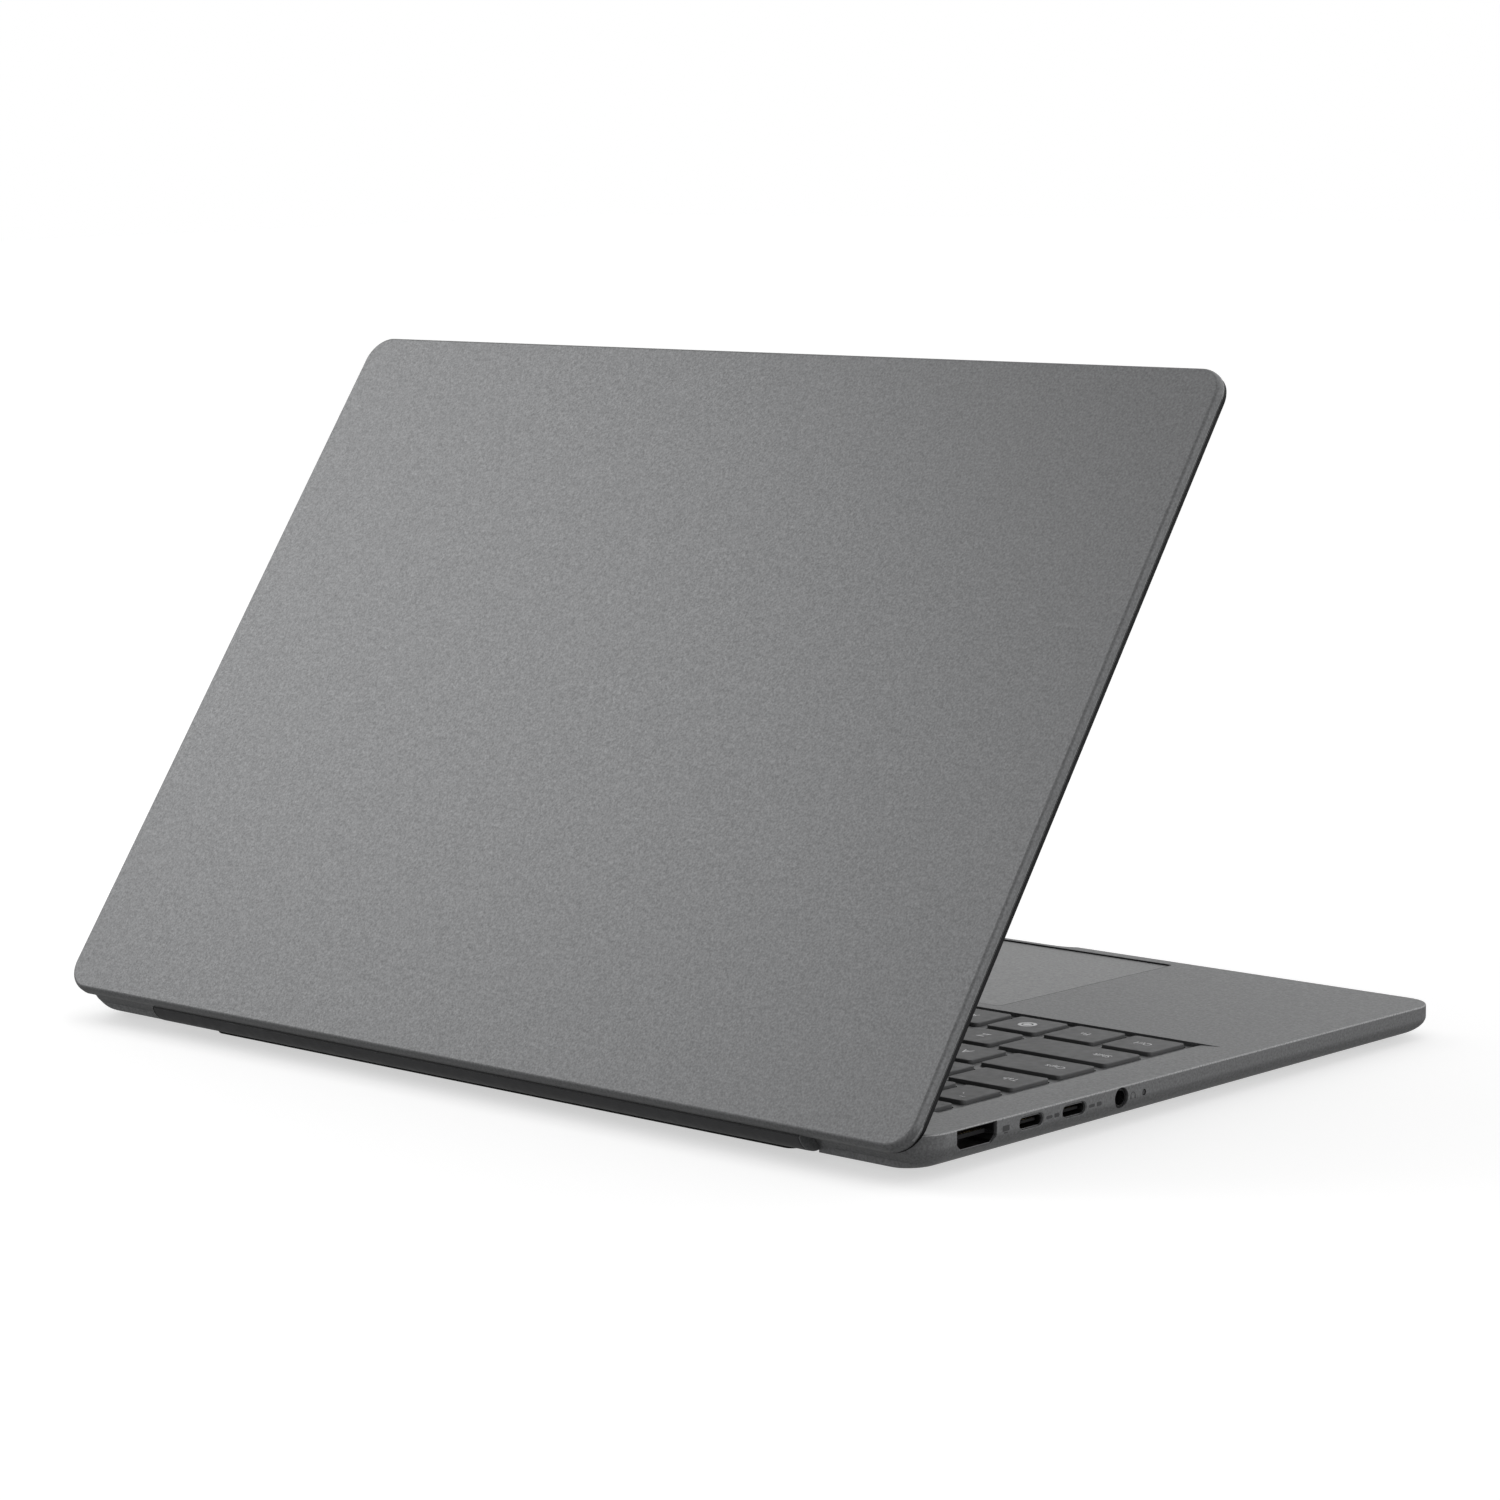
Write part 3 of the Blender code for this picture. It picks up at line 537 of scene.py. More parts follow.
def lettering(text, size, spot, align="CENTER"):
    """A bmesh of flat letters about the spot, or written rightwards from it."""
    curve = bpy.data.curves.new("letters", "FONT")
    curve.body = text
    curve.size = size
    curve.align_x = align
    curve.align_y = "CENTER"
    curve.extrude = 0.01
    curve.resolution_u = 3
    holder = bpy.data.objects.new("letters", curve)
    bpy.context.scene.collection.objects.link(holder)
    graph = bpy.context.evaluated_depsgraph_get()
    mesh = bpy.data.meshes.new_from_object(holder.evaluated_get(graph))
    bpy.data.objects.remove(holder)
    shape = bmesh.new()
    shape.from_mesh(mesh)
    bmesh.ops.remove_doubles(shape, verts=shape.verts, dist=0.0001)
    bmesh.ops.translate(shape, vec=spot, verts=shape.verts)
    bpy.data.meshes.remove(mesh)
    return shape


def wall(shape, rows, closed=True):
    """Joins four lines of matching points into a closed ring, or into a bar with two ends."""
    rows = [[shape.verts.new(point) for point in row] for row in rows]
    count = len(rows[0])
    for k in range(4):
        first, second = rows[k], rows[(k + 1) % 4]
        for i in range(count if closed else count - 1):
            j = (i + 1) % count
            shape.faces.new((first[i], first[j], second[j], second[i]))
    if not closed:
        for i in (0, count - 1):
            shape.faces.new([row[i] for row in rows])


def add_ring(shape, centre, radius, width, low, high, along="Z", start=0, end=360):
    """A flat ring, or a part of one."""
    whole = end - start == 360
    steps = 20
    count = steps if whole else steps + 1
    outer = arc(centre, radius, start, end, steps)[:count]
    inner = arc(centre, radius - width, start, end, steps)[:count]
    turn = TURNS[along]
    sides = ((outer, low), (outer, high), (inner, high), (inner, low))
    wall(shape, [[turn(a, b, level) for a, b in points] for points, level in sides], whole)


def tube(shape, outer, inner, low, high):
    """An upright wall between two outlines of matching points."""
    sides = ((outer, low), (outer, high), (inner, high), (inner, low))
    wall(shape, [[(x, y, z) for x, y in points] for points, z in sides])


def glyph(kind, x, y, low, high):
    """A small sign for a key that has no letters."""
    shape = bmesh.new()
    if kind in ("left", "right"):
        tip = -1.3 if kind == "left" else 1.3
        foot_x = x - tip * 0.6
        prism(shape, [(x + tip, y), (foot_x, y - 1.2), (foot_x, y + 1.2)], low, high)
    elif kind in ("up", "down"):
        tip = 1.0 if kind == "up" else -1.0
        foot_y = y - tip * 0.6
        prism(shape, [(x, y + tip), (x - 1.1, foot_y), (x + 1.1, foot_y)], low, high)
    elif kind == "power":
        add_ring(shape, (x, y), 1.5, 0.3, low, high, "Z", 120, 420)
        block(shape, (x - 0.15, y + 0.3, low), (x + 0.15, y + 1.8, high))
    else:
        add_ring(shape, (x, y), 2.6, 0.95, low, high)
        add_ring(shape, (x, y), 1.2, 1.19, low, high)
    return shape


def legends():
    """The printing on the caps, as one thin piece for each key node."""
    letters = {node: bmesh.new() for node in KEYS}
    for node, number, (left, front), (right, rear) in all_caps():
        text = number if number == "down" else KEYS[node][1][number]
        if not text:
            continue
        top = span(node)[1].z
        small = node in ("function_keys", "power_key")
        middle = (front + rear) / 2
        centre = (left + right) / 2
        level = top + 0.002
        if text in ("left", "right", "up", "down", "power", "ring"):
            marks = [glyph(text, centre, middle, top - 0.02, top + 0.015)]
        elif right - left > WIDE_CAP and len(text) > 1:
            marks = [lettering(text, WORD_SIZE, (left + 4.4, middle - 0.6, level), "LEFT")]
        elif small or len(text) > 1:
            size = SMALL_SIZE if small else WORD_SIZE
            marks = [lettering(text, size, (centre, middle - 0.3, level))]
        else:
            marks = [lettering(text, LETTER_SIZE, (centre, middle - 0.7, level))]
        if text in SHIFTED:
            marks.append(lettering(SHIFTED[text], SHIFTED_SIZE, (left + 3.4, rear - 3.6, level)))
        for made in marks:
            mesh = bpy.data.meshes.new("letters")
            made.to_mesh(mesh)
            made.free()
            letters[node].from_mesh(mesh)
            bpy.data.meshes.remove(mesh)
    for node, shape in letters.items():
        if not shape.faces:
            shape.free()
            continue
        put(finished(f"legends_{node}", shape, LEGEND), node, "key_grey")


# Case -----------------------------------------------------------------------------------------

# Where cutters end, well clear of the case
ABOVE = 4
BELOW = -13
BEHIND = 230


def thickness(y):
    return FRONT_THICK + THICK_GAIN * y


def case_ring(inset, rear_inset, depth, corner):
    outline = rounded(-HALF + inset, HALF - inset, inset, CASE_REAR - rear_inset, corner, 14)
    return [(x, y, -depth(y)) for x, y in outline]


def case_form():
    """A round upper edge, an upright wall, and a quarter ellipse under it."""
    rings = []
    for i in range(5):
        turn = radians(90 - 22.5 * i)
        inset = EDGE_ROUND * (1 - cos(turn))
        drop = EDGE_ROUND * (1 - sin(turn))
        rings.append(case_ring(inset, inset, lambda y, drop=drop: drop, CASE_CORNER - inset))
    rings.append(case_ring(0.0, 0.0, lambda y: WALL_DROP, CASE_CORNER))
    steps = 16
    for step in range(1, steps + 1):
        turn = radians(90 * step / steps)
        inwards = 1 - cos(turn)
        side = UNDER_RUN * inwards
        rings.append(
            case_ring(
                side,
                REAR_RUN * inwards,
                lambda y, down=sin(turn): WALL_DROP + (thickness(y) - WALL_DROP) * down,
                CASE_CORNER - 0.5 * side,
            )
        )
    return drawn(skin, rings)


def rear_cut():
    """Behind the ears: round the barrel, along the wide-open lid's inner face, and down."""
    lowest = FULL_OPEN - 90
    barrel = arc((HINGE.y, HINGE.z), BARREL, 80, -lowest, 20)
    y, z = barrel[-1]
    reach = LID_DEPTH - HINGE.y
    heel = (y - reach * sin(radians(lowest)), z - reach * cos(radians(lowest)))
    outline = [(barrel[0][0], ABOVE)] + barrel
    outline += [heel, (heel[0], BELOW), (BEHIND, BELOW), (BEHIND, ABOVE)]
    return drawn(prism, outline, -HALF - 5, HALF + 5, "X")


def hinge_recess():
    """Room for the hinge strip and its turning."""
    end = span("hinge_cover")[1].x + 0.5
    curve = arc((HINGE.y, HINGE.z), STRIP_RADIUS + 0.5, 160, 222, 16)
    outline = [(curve[0][0], ABOVE)] + curve
    outline += [(curve[-1][0], BELOW), (BEHIND, BELOW), (BEHIND, ABOVE)]
    return drawn(prism, outline, -end, end, "X")


def well_reach():
    """The front and rear of the sunk area around the keys."""
    rows = [span(node) for node in KEYS]
    return min(low.y for low, _ in rows) - 2.1, max(high.y for _, high in rows) + 2.45


def keyboard_well():
    """Sunk round the keys, easing up to the deck at both ends."""
    ramp = WELL_RAMP + ((146.8, 1.0),)
    outline = [(WELL_MIDDLE - out, height) for out, height in reversed(ramp)]
    outline += [(WELL_MIDDLE + out, height) for out, height in ramp]
    return drawn(prism, outline, *well_reach(), "Y")


def key_openings():
    """A hole round each cap; the two half caps of the arrow keys share theirs."""
    shape = bmesh.new()
    for node in KEYS:
        low, high = span(node)
        front, rear = low.y - KEY_CLEAR, high.y + KEY_CLEAR
        for left, right in cap_spans(node):
            sides = (left - KEY_CLEAR, right + KEY_CLEAR, front, rear)
            prism(shape, rounded(*sides, KEY_CORNER + 0.2, 4), -2.7, 1.0)
    return shape


def touchpad_hole():
    low, high = span("touchpad")
    outline = rounded(low.x - GAP, high.x + GAP, low.y - GAP, high.y + GAP, 1.5, 5)
    return drawn(prism, outline, -3, 2)


def finger_scoop():
    """The notch in the front edge that a finger lifts the lid by."""
    half = [(24, 2.4), (26, 2.3), (28, 2.0), (30, 1.4), (32, 0.4), (34, -1), (37, -3)]
    outline = [(-x, y) for x, y in reversed(half)] + half
    return drawn(prism, outline, -2.6, 3)


def cavities():
    """The open room inside: above the bottom cover, out to the walls, under the palm rest, and
    under the rear vents."""
    inner = HALF - COVER_INSET
    wide = HALF - 2.0
    yield drawn(block, (-inner, COVER_INSET, BELOW), (inner, 195.0, -1.65))
    yield drawn(block, (-wide, 14, -4.6), (wide, 188.9, -1.9))
    yield drawn(block, (-inner + 0.5, COVER_INSET + 0.5, -5), (inner - 0.5, 82, -1.2))
    yield drawn(block, (-115, 180, -7.2), (115, 200.4, -2.1))


def exhaust_slots():
    """The row of slots that the fan blows out through, behind the fins."""
    fins_left = span("heatsink_fins")[0].x
    shape = bmesh.new()
    for i in range(14):
        left = fins_left + 2 + i * 3.6
        outline = rounded(left, left + 2.0, -6.4, -3.0, 0.9, 4)
        prism(shape, outline, 198, 207, "Y")
    return shape


def status_hole():
    low, high = span("status_led")
    middle = (low + high) / 2
    return drawn(rod, middle, 0.8, -HALF - 1, high.x + 0.5, "X", 20)


def bores():
    """The holes that the hinge pins turn in."""
    for side in (-1, 1):
        low, high = sorted((side * (span("hinge_cover")[1].x - 1), side * 138.0))
        yield drawn(rod, (0, HINGE.y, HINGE.z), 1.9, low, high, "X", 32)


def case_shell():
    piece = finished("case_shell", case_form(), CASE)
    cutters = [rear_cut(), hinge_recess(), keyboard_well(), finger_scoop(), *cavities()]
    cutters += [key_openings(), touchpad_hole(), exhaust_slots(), status_hole(), *bores()]
    cutters += port_holes()
    cut(piece, cutters)
    # The deck's round upper edge gets the lighter edge metal: a painted highlight.
    brighten(piece, DECK, -EDGE_ROUND, 0.0, 0.15)
    put(smooth(piece), "base", "anodised_grey", "top_case")


# Ports ----------------------------------------------------------------------------------------


def slot_outline(node, corner, wall):
    """The opening of a port with round ends, as a function of how much it grows."""
    low, high = span(node)

    def outline(grow):
        by = grow - wall
        return rounded(low.y - by, high.y + by, low.z - by, high.z + by, corner + grow, 6)

    return outline


def trapezoid_outline(node, wall):
    """The opening of a port with two slanting lower corners, in the same way."""
    low, high = span(node)
    slant = 1.6

    def outline(grow):
        by = grow - wall
        y0, y1, z0, z1 = low.y - by, high.y + by, low.z - by, high.z + by
        near = [(y0, z1), (y0, z0 + slant), (y0 + slant, z0)]
        return near + [(y1 - slant, z0), (y1, z0 + slant), (y1, z1)]

    return outline


THIN = 0.22
PORTS = {
    # node: side of the case, outline, wall of the receptacle, and how far its hole flares
    "hdmi_port": (-1, trapezoid_outline("hdmi_port", THIN), THIN, 0.1),
    "usb_c_port_1": (-1, slot_outline("usb_c_port_1", 1.27, THIN), THIN, 0.3),
    "usb_c_port_2": (-1, slot_outline("usb_c_port_2", 1.27, THIN), THIN, 0.3),
    "usb_a_port": (1, slot_outline("usb_a_port", 0.3, THIN), THIN, 0.2),
    "audio_jack": (-1, slot_outline("audio_jack", 1.94, 0.6), 0.6, 0.1),
}


def port_holes():
    """A hole for each receptacle, whose mouth widens towards the case's outer face."""
    clear, past = 0.06, 0.3
    for node, (side, outline, wall, flare) in PORTS.items():
        low, high = span(node)
        back = high.x - 0.6 if side < 0 else low.x + 0.6
        rows = (
            (side * (HALF + past), clear + flare + past),
            (side * (HALF - flare), clear),
            (back, clear),
        )
        rings = [[(x, y, z) for y, z in outline(wall + margin)] for x, margin in rows]
        yield drawn(skin, rings)


def receptacles():
    """Each port's metal shell, its tongue and its contacts."""
    for node, (side, outline, wall, _) in PORTS.items():
        low, high = span(node)
        is_jack = node == "audio_jack"
        piece = finished(node + "_shell", drawn(prism, outline(wall), low.x, high.x, "X"), DARK_STEEL)
        if is_jack:
            piece.data.materials.clear()
            piece.data.materials.append(BLACK)
        mouth, back = (low.x, high.x) if side < 0 else (high.x, low.x)
        first, last = sorted((mouth + side, back + side))
        cut(piece, [drawn(prism, outline(0.0), first, last, "X")])
        put(smooth(piece), "base", "black_plastic" if is_jack else "steel", node)
        if not is_jack:
            tongue(node, side, mouth, back)
            continue
        shape = bmesh.new()
        middle = (low + high) / 2
        ring_at = sorted((mouth - side * 0.05, mouth - side * 0.6))
        add_ring(shape, (middle.y, middle.z), 2.3, 0.38, *ring_at, along="X")
        put(smooth(finished("audio_jack_ring", shape, DARK_STEEL)), "base", "steel")


TONGUES = {
    # node: width, height, distance above the middle, distance behind the mouth, contacts
    "hdmi_port": (11.0, 1.0, 0.3, 1.5, 10),
    "usb_c_port_1": (6.7, 0.7, 0.0, 1.0, 8),
    "usb_c_port_2": (6.7, 0.7, 0.0, 1.0, 8),
    "usb_a_port": (11.1, 1.6, 1.1, 1.2, 4),
}


def tongue(node, side, mouth, back):
    """The tongue inside a receptacle, with its gold contacts."""
    wide, tall, lift, set_back, count = TONGUES[node]
    low, high = span(node)
    y = (low.y + high.y) / 2
    z = (low.z + high.z) / 2 + lift
    first, last = sorted((mouth - side * set_back, back + side * 0.6))
    low_corner = (first, y - wide / 2, z - tall / 2)
    high_corner = (last, y + wide / 2, z + tall / 2)
    shape = drawn(rounded_plate, low_corner, high_corner, 0.3, 0.1)
    put(smooth(finished(node + "_tongue", shape, BLACK)), "base", "black_plastic")
    shape = bmesh.new()
    pitch = wide * 0.86 / count
    for i in range(count):
        start = y - pitch * count / 2 + (i + 0.25) * pitch
        for face in (-1, 1):
            if node == "usb_a_port" and face > 0:
                continue
            level = z + face * tall / 2
            heights = sorted((level - face * 0.02, level + face * 0.03))
            ends = sorted((mouth - side * (set_back + 0.5), mouth - side * (set_back + 4.5)))
            block(shape, (ends[0], start, heights[0]), (ends[1], start + pitch * 0.5, heights[1]))
    put(finished(node + "_contacts", shape, GOLD), "base", "steel")


def side_marks():
    """Small generic signs beside the ports, printed on the case's left side."""
    near, far = -HALF - 0.012, -HALF + 0.03

    def middle(node):
        low, high = span(node)
        return (low + high) / 2

    shape = bmesh.new()
    at = middle("hdmi_port")
    y = span("hdmi_port")[0].y - 3.4
    outline = rounded(y - 1.3, y + 1.3, at.z - 0.5, at.z + 0.9, 0.2, 3)
    prism(shape, outline, near, far, "X")
    block(shape, (near, y - 0.7, at.z - 1.0), (far, y + 0.7, at.z - 0.75))
    for node in ("usb_c_port_1", "usb_c_port_2"):
        at = middle(node)
        y = span(node)[0].y - 2.2
        prism(shape, rounded(y - 1.2, y + 1.2, at.z - 0.4, at.z + 0.4, 0.39, 4), near, far, "X")
        y -= 2.8
        prism(shape, rounded(y - 0.9, y + 0.9, at.z - 0.5, at.z + 0.5, 0.15, 2), near, far, "X")
        block(shape, (near, y - 1.15, at.z - 0.2), (far, y - 1.0, at.z + 0.2))
    at = middle("audio_jack")
    y = span("audio_jack")[0].y - 1.9
    add_ring(shape, (y, at.z - 0.1), 1.0, 0.25, near, far, "X", 0, 180)
    for side in (-1, 1):
        ear = y + side * 0.85
        block(shape, (near, ear - 0.2, at.z - 0.9), (far, ear + 0.2, at.z - 0.1))
    put(finished("side_signs", shape, MARK), "base", "anodised_grey")


# Lid ------------------------------------------------------------------------------------------

CAMERA_Y = 4.0
PIN_BORE = 1.2
SCREEN_WINDOW = (-150.8, 150.8, 7.5, 196.0)
HINGE_ENDS = (
    # name, how far past the strip's end it starts and stops, how much slimmer it is, material
    ("gap", -0.05, 0.16, 0.5, BLACK),
    ("cheek", 0.14, 0.44, 0.04, CASE),
)


def lid_outline(inset):
    sides = (-HALF + inset, HALF - inset, inset, LID_DEPTH - inset)
    return rounded(*sides, LID_CORNER - inset, 14)


def lid_shell():
    """The lid's outer shell: a flat back that ends in a crease, a round side, and a lip with a painted highlight.
    """
    low = span("lid_cover", LID)[0]
    run, drop = 1.1, 2.3  # how far the round side reaches inwards, and up
    rim = low.z + RIM_LIFT
    profile = [(0.3, rim), (0.1, rim + 0.02), (0.0, rim + 0.12), (0.0, rim + 0.42), (0.0, -drop)]
    for i in range(1, 9):
        turn = radians(10 * i)
        profile.append((run * (1 - cos(turn)), -drop * (1 - sin(turn))))
    profile += [(run, -0.02), (run + 0.05, 0.0)]

    def lowered(y, z):
        """The rim comes down to its CAD edge beside the hinge, where no border shows."""
        if z > rim + 0.5:
            return z
        return z - RIM_LIFT * min(max((y - LID_DEPTH + LID_CORNER) / 5, 0), 1)

    rings = [[(x, y, lowered(y, z)) for x, y in lid_outline(inset)] for inset, z in profile]
    piece = finished("lid_shell", drawn(skin, rings), CASE, LID)
    room = drawn(prism, lid_outline(1.2), low.z - 1, -0.9)
    cut(piece, [room], LID)
    # The lip and the lowest band of the side get the lighter edge metal: a painted highlight.
    brighten(piece, LID, rim + 0.02, rim + 0.4, 0.0)
    put(smooth(piece), "lid", "anodised_grey", "lid_cover")


def lid_inside():
    """The bezel, and the screen with its black border."""
    low, high = span("bezel_frame", LID)
    edge, lowest = 0.15, low.z + 0.2
    rings = []
    for inset, z in ((edge, lowest), (0.0, lowest + edge), (0.0, high.z + RIM_LIFT + 0.25)):
        side = HALF - 0.08 - inset
        outline = rounded(-side, side, 0.08 + inset, LID_DEPTH - 1.0 - inset, LID_CORNER - inset, 14)
        rings.append([(x, y, z) for x, y in outline])
    piece = finished("bezel", drawn(skin, rings), BLACK, LID)
    opening = drawn(prism, rounded(*SCREEN_WINDOW, 1.0, 5), low.z - 1, high.z + 1)
    hollow = drawn(prism, lid_outline(1.3), high.z, high.z + 2)
    camera = drawn(rod, (0, CAMERA_Y, 0), 1.6, low.z - 1, high.z + 1, "Z", 40)
    slots = bmesh.new()
    for side in (-1, 1):
        first, last = sorted((side * 69.5, side * 80.5))
        block(slots, (first, LID_HINGE.y - 1.1, low.z - 1), (last, LID_HINGE.y + 1.1, high.z + 1))
    cut(piece, [hollow, opening, camera, slots], LID)
    put(smooth(piece), "lid", "black_plastic", "bezel_frame")
    panel_low, panel_high = span("display_panel", LID)
    shape = drawn(rounded_plate, panel_low, panel_high, 1.5, 0.2)
    put(smooth(finished("screen_body", shape, MASK, LID)), "lid", "screen_glass", "display_panel")
    left, right, front, rear = SCREEN_WINDOW
    picture = rounded(left + 3.0, right - 3.0, front + 5.0, rear - 7.0, 0.8, 5)
    shape = drawn(prism, picture, panel_low.z - 0.03, panel_low.z + 0.05)
    put(finished("screen_picture_area", shape, GLASS, LID), "lid", "screen_glass")


def gasket():
    """The rubber line round the bezel, open beside the hinge."""
    low, high = span("lid_gasket", LID)
    edge = 0.12
    profile = ((0.5 + edge, low.z), (0.5, low.z + edge), (0.5, high.z))
    rings = [[(x, y, z) for x, y in lid_outline(inset)] for inset, z in profile]
    piece = finished("gasket", drawn(skin, rings), RUBBER, LID)
    inner = rounded(-HALF + 1.9, HALF - 1.9, 1.9, 201.0, 6.5, 12)
    middle = drawn(prism, inner, low.z - 1, high.z + 1)
    end = drawn(block, (-130, 200, low.z - 1), (130, 220, high.z + 1))
    cut(piece, [middle, end], LID)
    put(smooth(piece), "lid", "rubber", "lid_gasket")


def camera_lens():
    base = span("webcam_module", LID)[0].z
    profile = [(1.15, 0.0), (1.15, 0.12), (1.0, 0.2), (0.8, 0.2)]
    profile += [(0.72, 0.1), (0.5, 0.02), (0.25, -0.02)]
    rings = [[(x, y, base - lift) for x, y in circle((0, CAMERA_Y), radius)] for radius, lift in profile]
    put(smooth(finished("camera_lens", drawn(skin, rings), LENS, LID)), "lid", "screen_glass")


def hinge_strip():
    """The dark strip between the ears: round about the axis, flat under the lid, with a lip."""
    low, high = span("hinge_cover", LID)
    flat = span("lid_gasket", LID)[0].z - 0.25
    y, z = LID_HINGE.y, LID_HINGE.z
    lip_front = span("bezel_frame", LID)[1].y + 0.05

    def ring(x, inset):
        radius = STRIP_RADIUS - inset
        lip_top = high.z - inset
        start = 180 - degrees(asin((flat - z) / radius))
        end = 360 + degrees(asin((lip_top - z) / radius))
        outline = arc((y, z), radius, start, end, 56) + [(lip_front, lip_top), (lip_front, flat)]
        return [(x, a, b) for a, b in outline]

    ease = 0.45
    ends = [(ease * (1 - cos(a)), ease * (1 - sin(a))) for a in [i * pi / 12 for i in range(7)]]
    rings = [ring(low.x + along, inset) for along, inset in ends]
    rings += [ring(high.x - along, inset) for along, inset in reversed(ends)]
    piece = finished("hinge_strip", drawn(skin, rings), STRIP, LID)
    cutters = []
    for side in (-1, 1):
        first, last = sorted((side * 64.0, side * (high.x + 2)))
        cutters.append(drawn(rod, (0, y, z), PIN_BORE, first, last, "X", 32))
        first, last = sorted((side * 69.0, side * 81.0))
        cutters.append(drawn(block, (first, y - 2.3, z - 2.3), (last, y + 2.3, flat + 2)))
    cut(piece, cutters, LID)
    put(smooth(piece), "lid", "black_plastic", "hinge_cover")
    for side, hand in ((-1, "left"), (1, "right")):
        for kind, near, far, inset, paint in HINGE_ENDS:
            disc = [ring(side * (high.x + near), inset), ring(side * (high.x + far), inset)]
            piece = finished(f"hinge_{kind}_{hand}", drawn(skin, disc), paint, LID)
            first, last = sorted((side * (high.x - 2), side * (high.x + 2)))
            cut(piece, [drawn(rod, (0, y, z), PIN_BORE, first, last, "X", 32)], LID)
            put(smooth(piece), "lid", "black_plastic")


# Touchpad, feet and underside -------------------------------------------------------------------


def touchpad():
    """The pad's plate, and a black ring that fills the gap round its hole."""
    low, high = span("touchpad")
    shape = drawn(rounded_plate, low, high, 1.2, 0.18)
    put(smooth(finished("touchpad_plate", shape, PAD)), "touchpad", "touchpad_glass", "touchpad")
    shape = bmesh.new()
    outer, inner = (
        rounded(low.x - gap, high.x + gap, low.y - gap, high.y + gap, 1.5, 5)
        for gap in (GAP - 0.01, 0.06)
    )
    tube(shape, outer, inner, -0.9, -0.03)
    put(finished("touchpad_gap_filler", shape, BLACK), "base", "black_plastic")


def foot(node):
    """A foot with a round lower edge, drawn on the floor and not on the deck."""
    level = Matrix.Diagonal((MM, MM, -MM, 1))
    low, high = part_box(node)
    lowest = (low.x / MM, low.y / MM, -high.z / MM)
    highest = (high.x / MM, high.y / MM, -low.z / MM)
    corner = min(highest[1] - lowest[1], highest[0] - lowest[0]) / 2 - 0.05
    shape = drawn(rounded_plate, lowest, highest, corner, 0.5)
    put(smooth(finished(node + "_pad", shape, RUBBER, level)), "base", "rubber", node)


INTAKE_RADIUS = 20.0


def underside():
    """The plate under the case, with intake and speaker slots and seats for its screws."""
    inset = COVER_INSET + 0.4
    rings = []
    for more, lift in ((0.3, 0.0), (0.08, 0.08), (0.0, 0.3), (0.0, 0.9)):
        side = HALF - inset - more
        outline = rounded(-side, side, inset + more, COVER_REAR - more, 5.0 - more, 10)
        rings.append([(x, y, -thickness(y) + lift) for x, y in outline])
    piece = finished("underside_plate", drawn(skin, rings), CASE)
    fan_low, fan_high = span("fan_rotor")
    fan = (fan_low + fan_high) / 2
    slots = bmesh.new()
    for row in range(6):
        y = fan.y - 15 + row * 6
        half = sqrt(INTAKE_RADIUS**2 - (y - fan.y) ** 2)
        prism(slots, rounded(fan.x - half, fan.x + half, y - 1.1, y + 1.1, 1.05, 6), -12, -5)
    for side in (-1, 1):
        for i in range(5):
            first, last = sorted((side * 127, side * 139))
            y = 22 + i * 5
            prism(slots, rounded(first, last, y - 0.9, y + 0.9, 0.85, 6), -12, -5)
    holes = bmesh.new()
    seats = bmesh.new()
    for i in range(4):
        low, high = span(f"bottom_screw_{i + 1}")
        spot = (low + high) / 2
        face = -thickness(spot.y)
        rod(holes, spot, 1.4, -12, -4, "Z", 24)
        rod(seats, spot, 2.6, face - 1, face + 0.45, "Z", 32)
    cut(piece, [slots, holes, seats])
    put(smooth(piece), "base", "anodised_grey", "bottom_cover")


def screws():
    """Pan-headed screws with a six-lobed recess."""
    for i in range(4):
        node = f"bottom_screw_{i + 1}"
        low, high = span(node)
        spot = (low + high) / 2
        profile = [(0.95, high.z), (0.95, low.z + 0.3)]
        profile += [(2.2, low.z + 0.3), (2.2, low.z + 0.1), (2.05, low.z)]
        rings = [[(x, y, z) for x, y in circle(spot, radius)] for radius, z in profile]
        piece = finished(f"screw_{i + 1}", drawn(skin, rings), STEEL)
        lobes = []
        for k in range(36):
            angle = 2 * pi * k / 36
            radius = 0.95 + 0.16 * cos(6 * angle)
            lobes.append((spot.x + radius * cos(angle), spot.y + radius * sin(angle)))
        cut(piece, [drawn(prism, lobes, low.z - 1, low.z + 0.2)])
        put(smooth(piece), "base", "steel", node)


# Studio ---------------------------------------------------------------------------------------


def studio():
    """The camera, behind the laptop and to its left."""
    camera = bpy.data.cameras.new("camera")
    camera.lens = 105.107
    camera.sensor_width = 36
    camera.clip_end = 50
    eye = bpy.data.objects.new("camera", camera)
    forward = Vector((0.675257, -0.722630, -0.147760))
    right = Vector((-0.732266, -0.680809, -0.016880))
    turn = Matrix((right, right.cross(forward), -forward)).transposed().to_4x4()
    eye.matrix_world = Matrix.Translation((-0.804031, 0.853455, 0.251518)) @ turn
    bpy.context.scene.collection.objects.link(eye)
    bpy.context.scene.camera = eye


def floor():
    shape = drawn(bmesh.ops.create_grid, x_segments=1, y_segments=1, size=6000)
    ground = Surface("floor_paint", (0.59, 0.59, 0.59), 0.9)
    ground.tint(ground.noise(3, 2.0), 0.995, 1.005)
    ground.set("Emission Color", (1, 1, 1, 1))
    ground.set("Emission Strength", 0.56)
    piece = finished("floor", shape, ground.material, Matrix.Diagonal((MM, MM, MM, 1)))
    piece.visible_diffuse = False
    piece.visible_glossy = False
    piece.visible_shadow = False


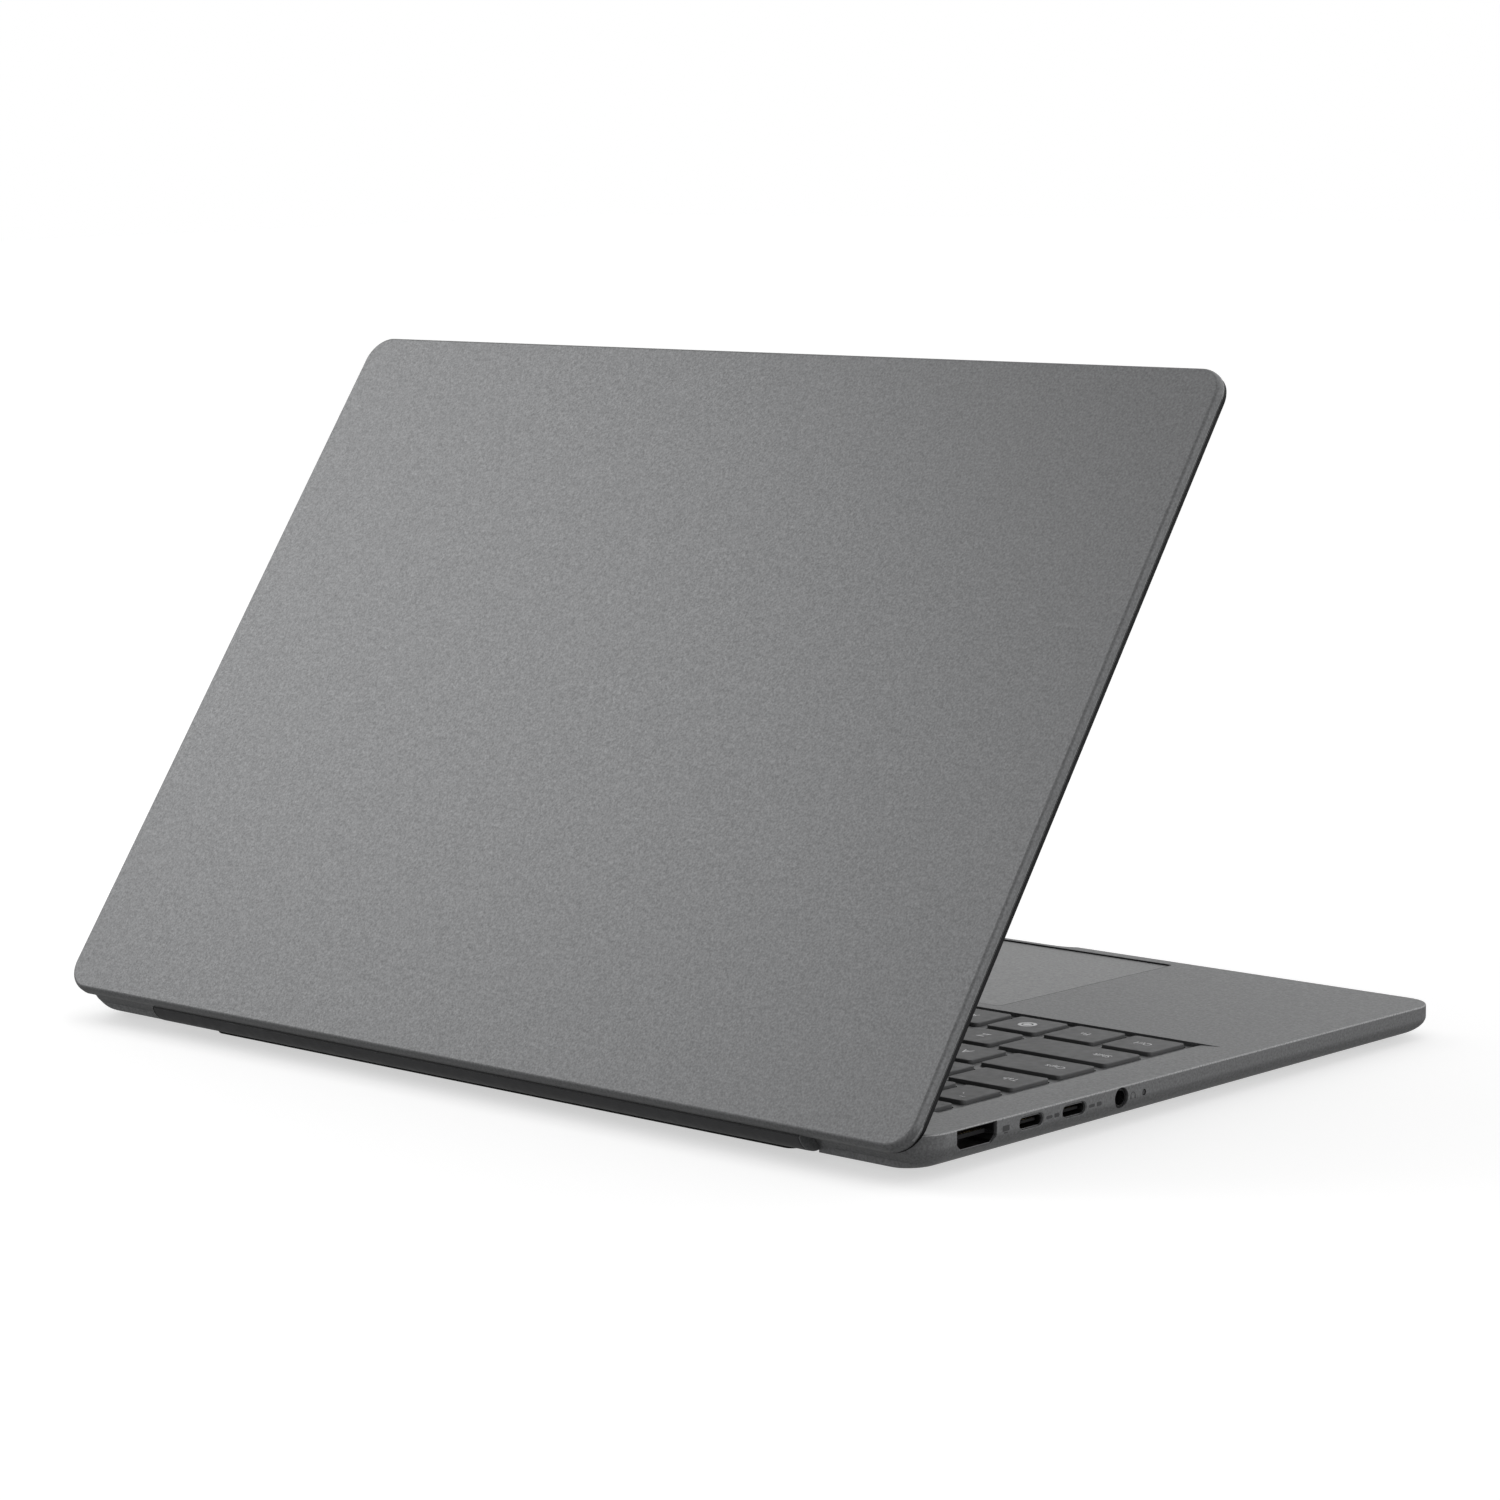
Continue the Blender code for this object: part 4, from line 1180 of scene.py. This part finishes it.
def softbox(name, direction, distance, size, power, target=(0, 0.05, 0.08)):
    light = bpy.data.lights.new(name, "AREA")
    light.shape = "RECTANGLE"
    light.size, light.size_y = size
    light.energy = power
    lamp = bpy.data.objects.new(name, light)
    towards = Vector(direction).normalized()
    lamp.location = Vector(target) + towards * distance
    lamp.rotation_mode = "QUATERNION"
    lamp.rotation_quaternion = towards.to_track_quat("Z", "Y")
    bpy.context.scene.collection.objects.link(lamp)


LEVELS = (
    # height on the dome, brightness
    (-1.0, 0.24),
    (-0.5, 0.27),
    (-0.2, 0.31),
    (-0.08, 0.42),
    (0.03, 0.64),
    (0.2, 0.72),
    (1.0, 0.76),
)
LOBES = (
    # direction, cosine where it starts, added brightness
    ((-0.05, -0.78, 0.6), 0.75, 0.32),
    ((-0.67, -0.72, 0.0), 0.8, 0.35),
    ((-0.65, 0.45, 0.6), 0.7, -0.3),
    ((0.45, 0.65, 0.62), 0.75, -0.24),
    ((-0.95, -0.1, 0.3), 0.88, 0.6),
    ((0.68, -0.72, -0.2), 0.95, 0.3),
)


def dome():
    """A pale room: dark below, bright above, with soft lamps in front and a dark side behind."""
    world = bpy.data.worlds.new("studio")
    world.use_nodes = True
    bpy.context.scene.world = world
    nodes, links = world.node_tree.nodes, world.node_tree.links
    light = nodes["Background"]
    seen = nodes.new("ShaderNodeBackground")
    seen.inputs["Color"].default_value = (1, 1, 1, 1)
    place = nodes.new("ShaderNodeTexCoord").outputs["Generated"]
    split = nodes.new("ShaderNodeSeparateXYZ")
    links.new(place, split.inputs[0])
    height = nodes.new("ShaderNodeMapRange")
    height.inputs["From Min"].default_value = -1
    links.new(split.outputs["Z"], height.inputs["Value"])
    ramp = nodes.new("ShaderNodeValToRGB")
    while len(ramp.color_ramp.elements) < len(LEVELS):
        ramp.color_ramp.elements.new(0.5)
    for element, (level, bright) in zip(ramp.color_ramp.elements, LEVELS):
        element.position = (level + 1) / 2
        element.color = (bright, bright, bright, 1)
    links.new(height.outputs["Result"], ramp.inputs["Fac"])
    total = ramp.outputs["Color"]
    for direction, start, bright in LOBES:
        facing = nodes.new("ShaderNodeVectorMath")
        facing.operation = "DOT_PRODUCT"
        facing.inputs[1].default_value = Vector(direction).normalized()
        links.new(place, facing.inputs[0])
        lobe = nodes.new("ShaderNodeMapRange")
        lobe.interpolation_type = "SMOOTHSTEP"
        lobe.inputs["From Min"].default_value = start
        lobe.inputs["To Max"].default_value = bright
        links.new(facing.outputs["Value"], lobe.inputs["Value"])
        add = nodes.new("ShaderNodeMath")
        links.new(total, add.inputs[0])
        links.new(lobe.outputs["Result"], add.inputs[1])
        total = add.outputs[0]
    links.new(total, light.inputs["Color"])
    path = nodes.new("ShaderNodeLightPath")
    mix = nodes.new("ShaderNodeMixShader")
    links.new(path.outputs["Is Camera Ray"], mix.inputs["Fac"])
    links.new(light.outputs[0], mix.inputs[1])
    links.new(seen.outputs[0], mix.inputs[2])
    links.new(mix.outputs[0], nodes["World Output"].inputs["Surface"])


studio()
floor()
dome()
softbox("key_light", (0.8, 0.3, 0.57), 1.1, (0.6, 0.6), 2.6)
bpy.context.scene.view_settings.view_transform = "Standard"

repaint()
case_shell()
receptacles()
side_marks()
touchpad()
for each in ("rear_foot", "front_foot_left", "front_foot_right"):
    foot(each)
underside()
screws()
key_caps()
legends()
lid_shell()
lid_inside()
gasket()
camera_lens()
hinge_strip()
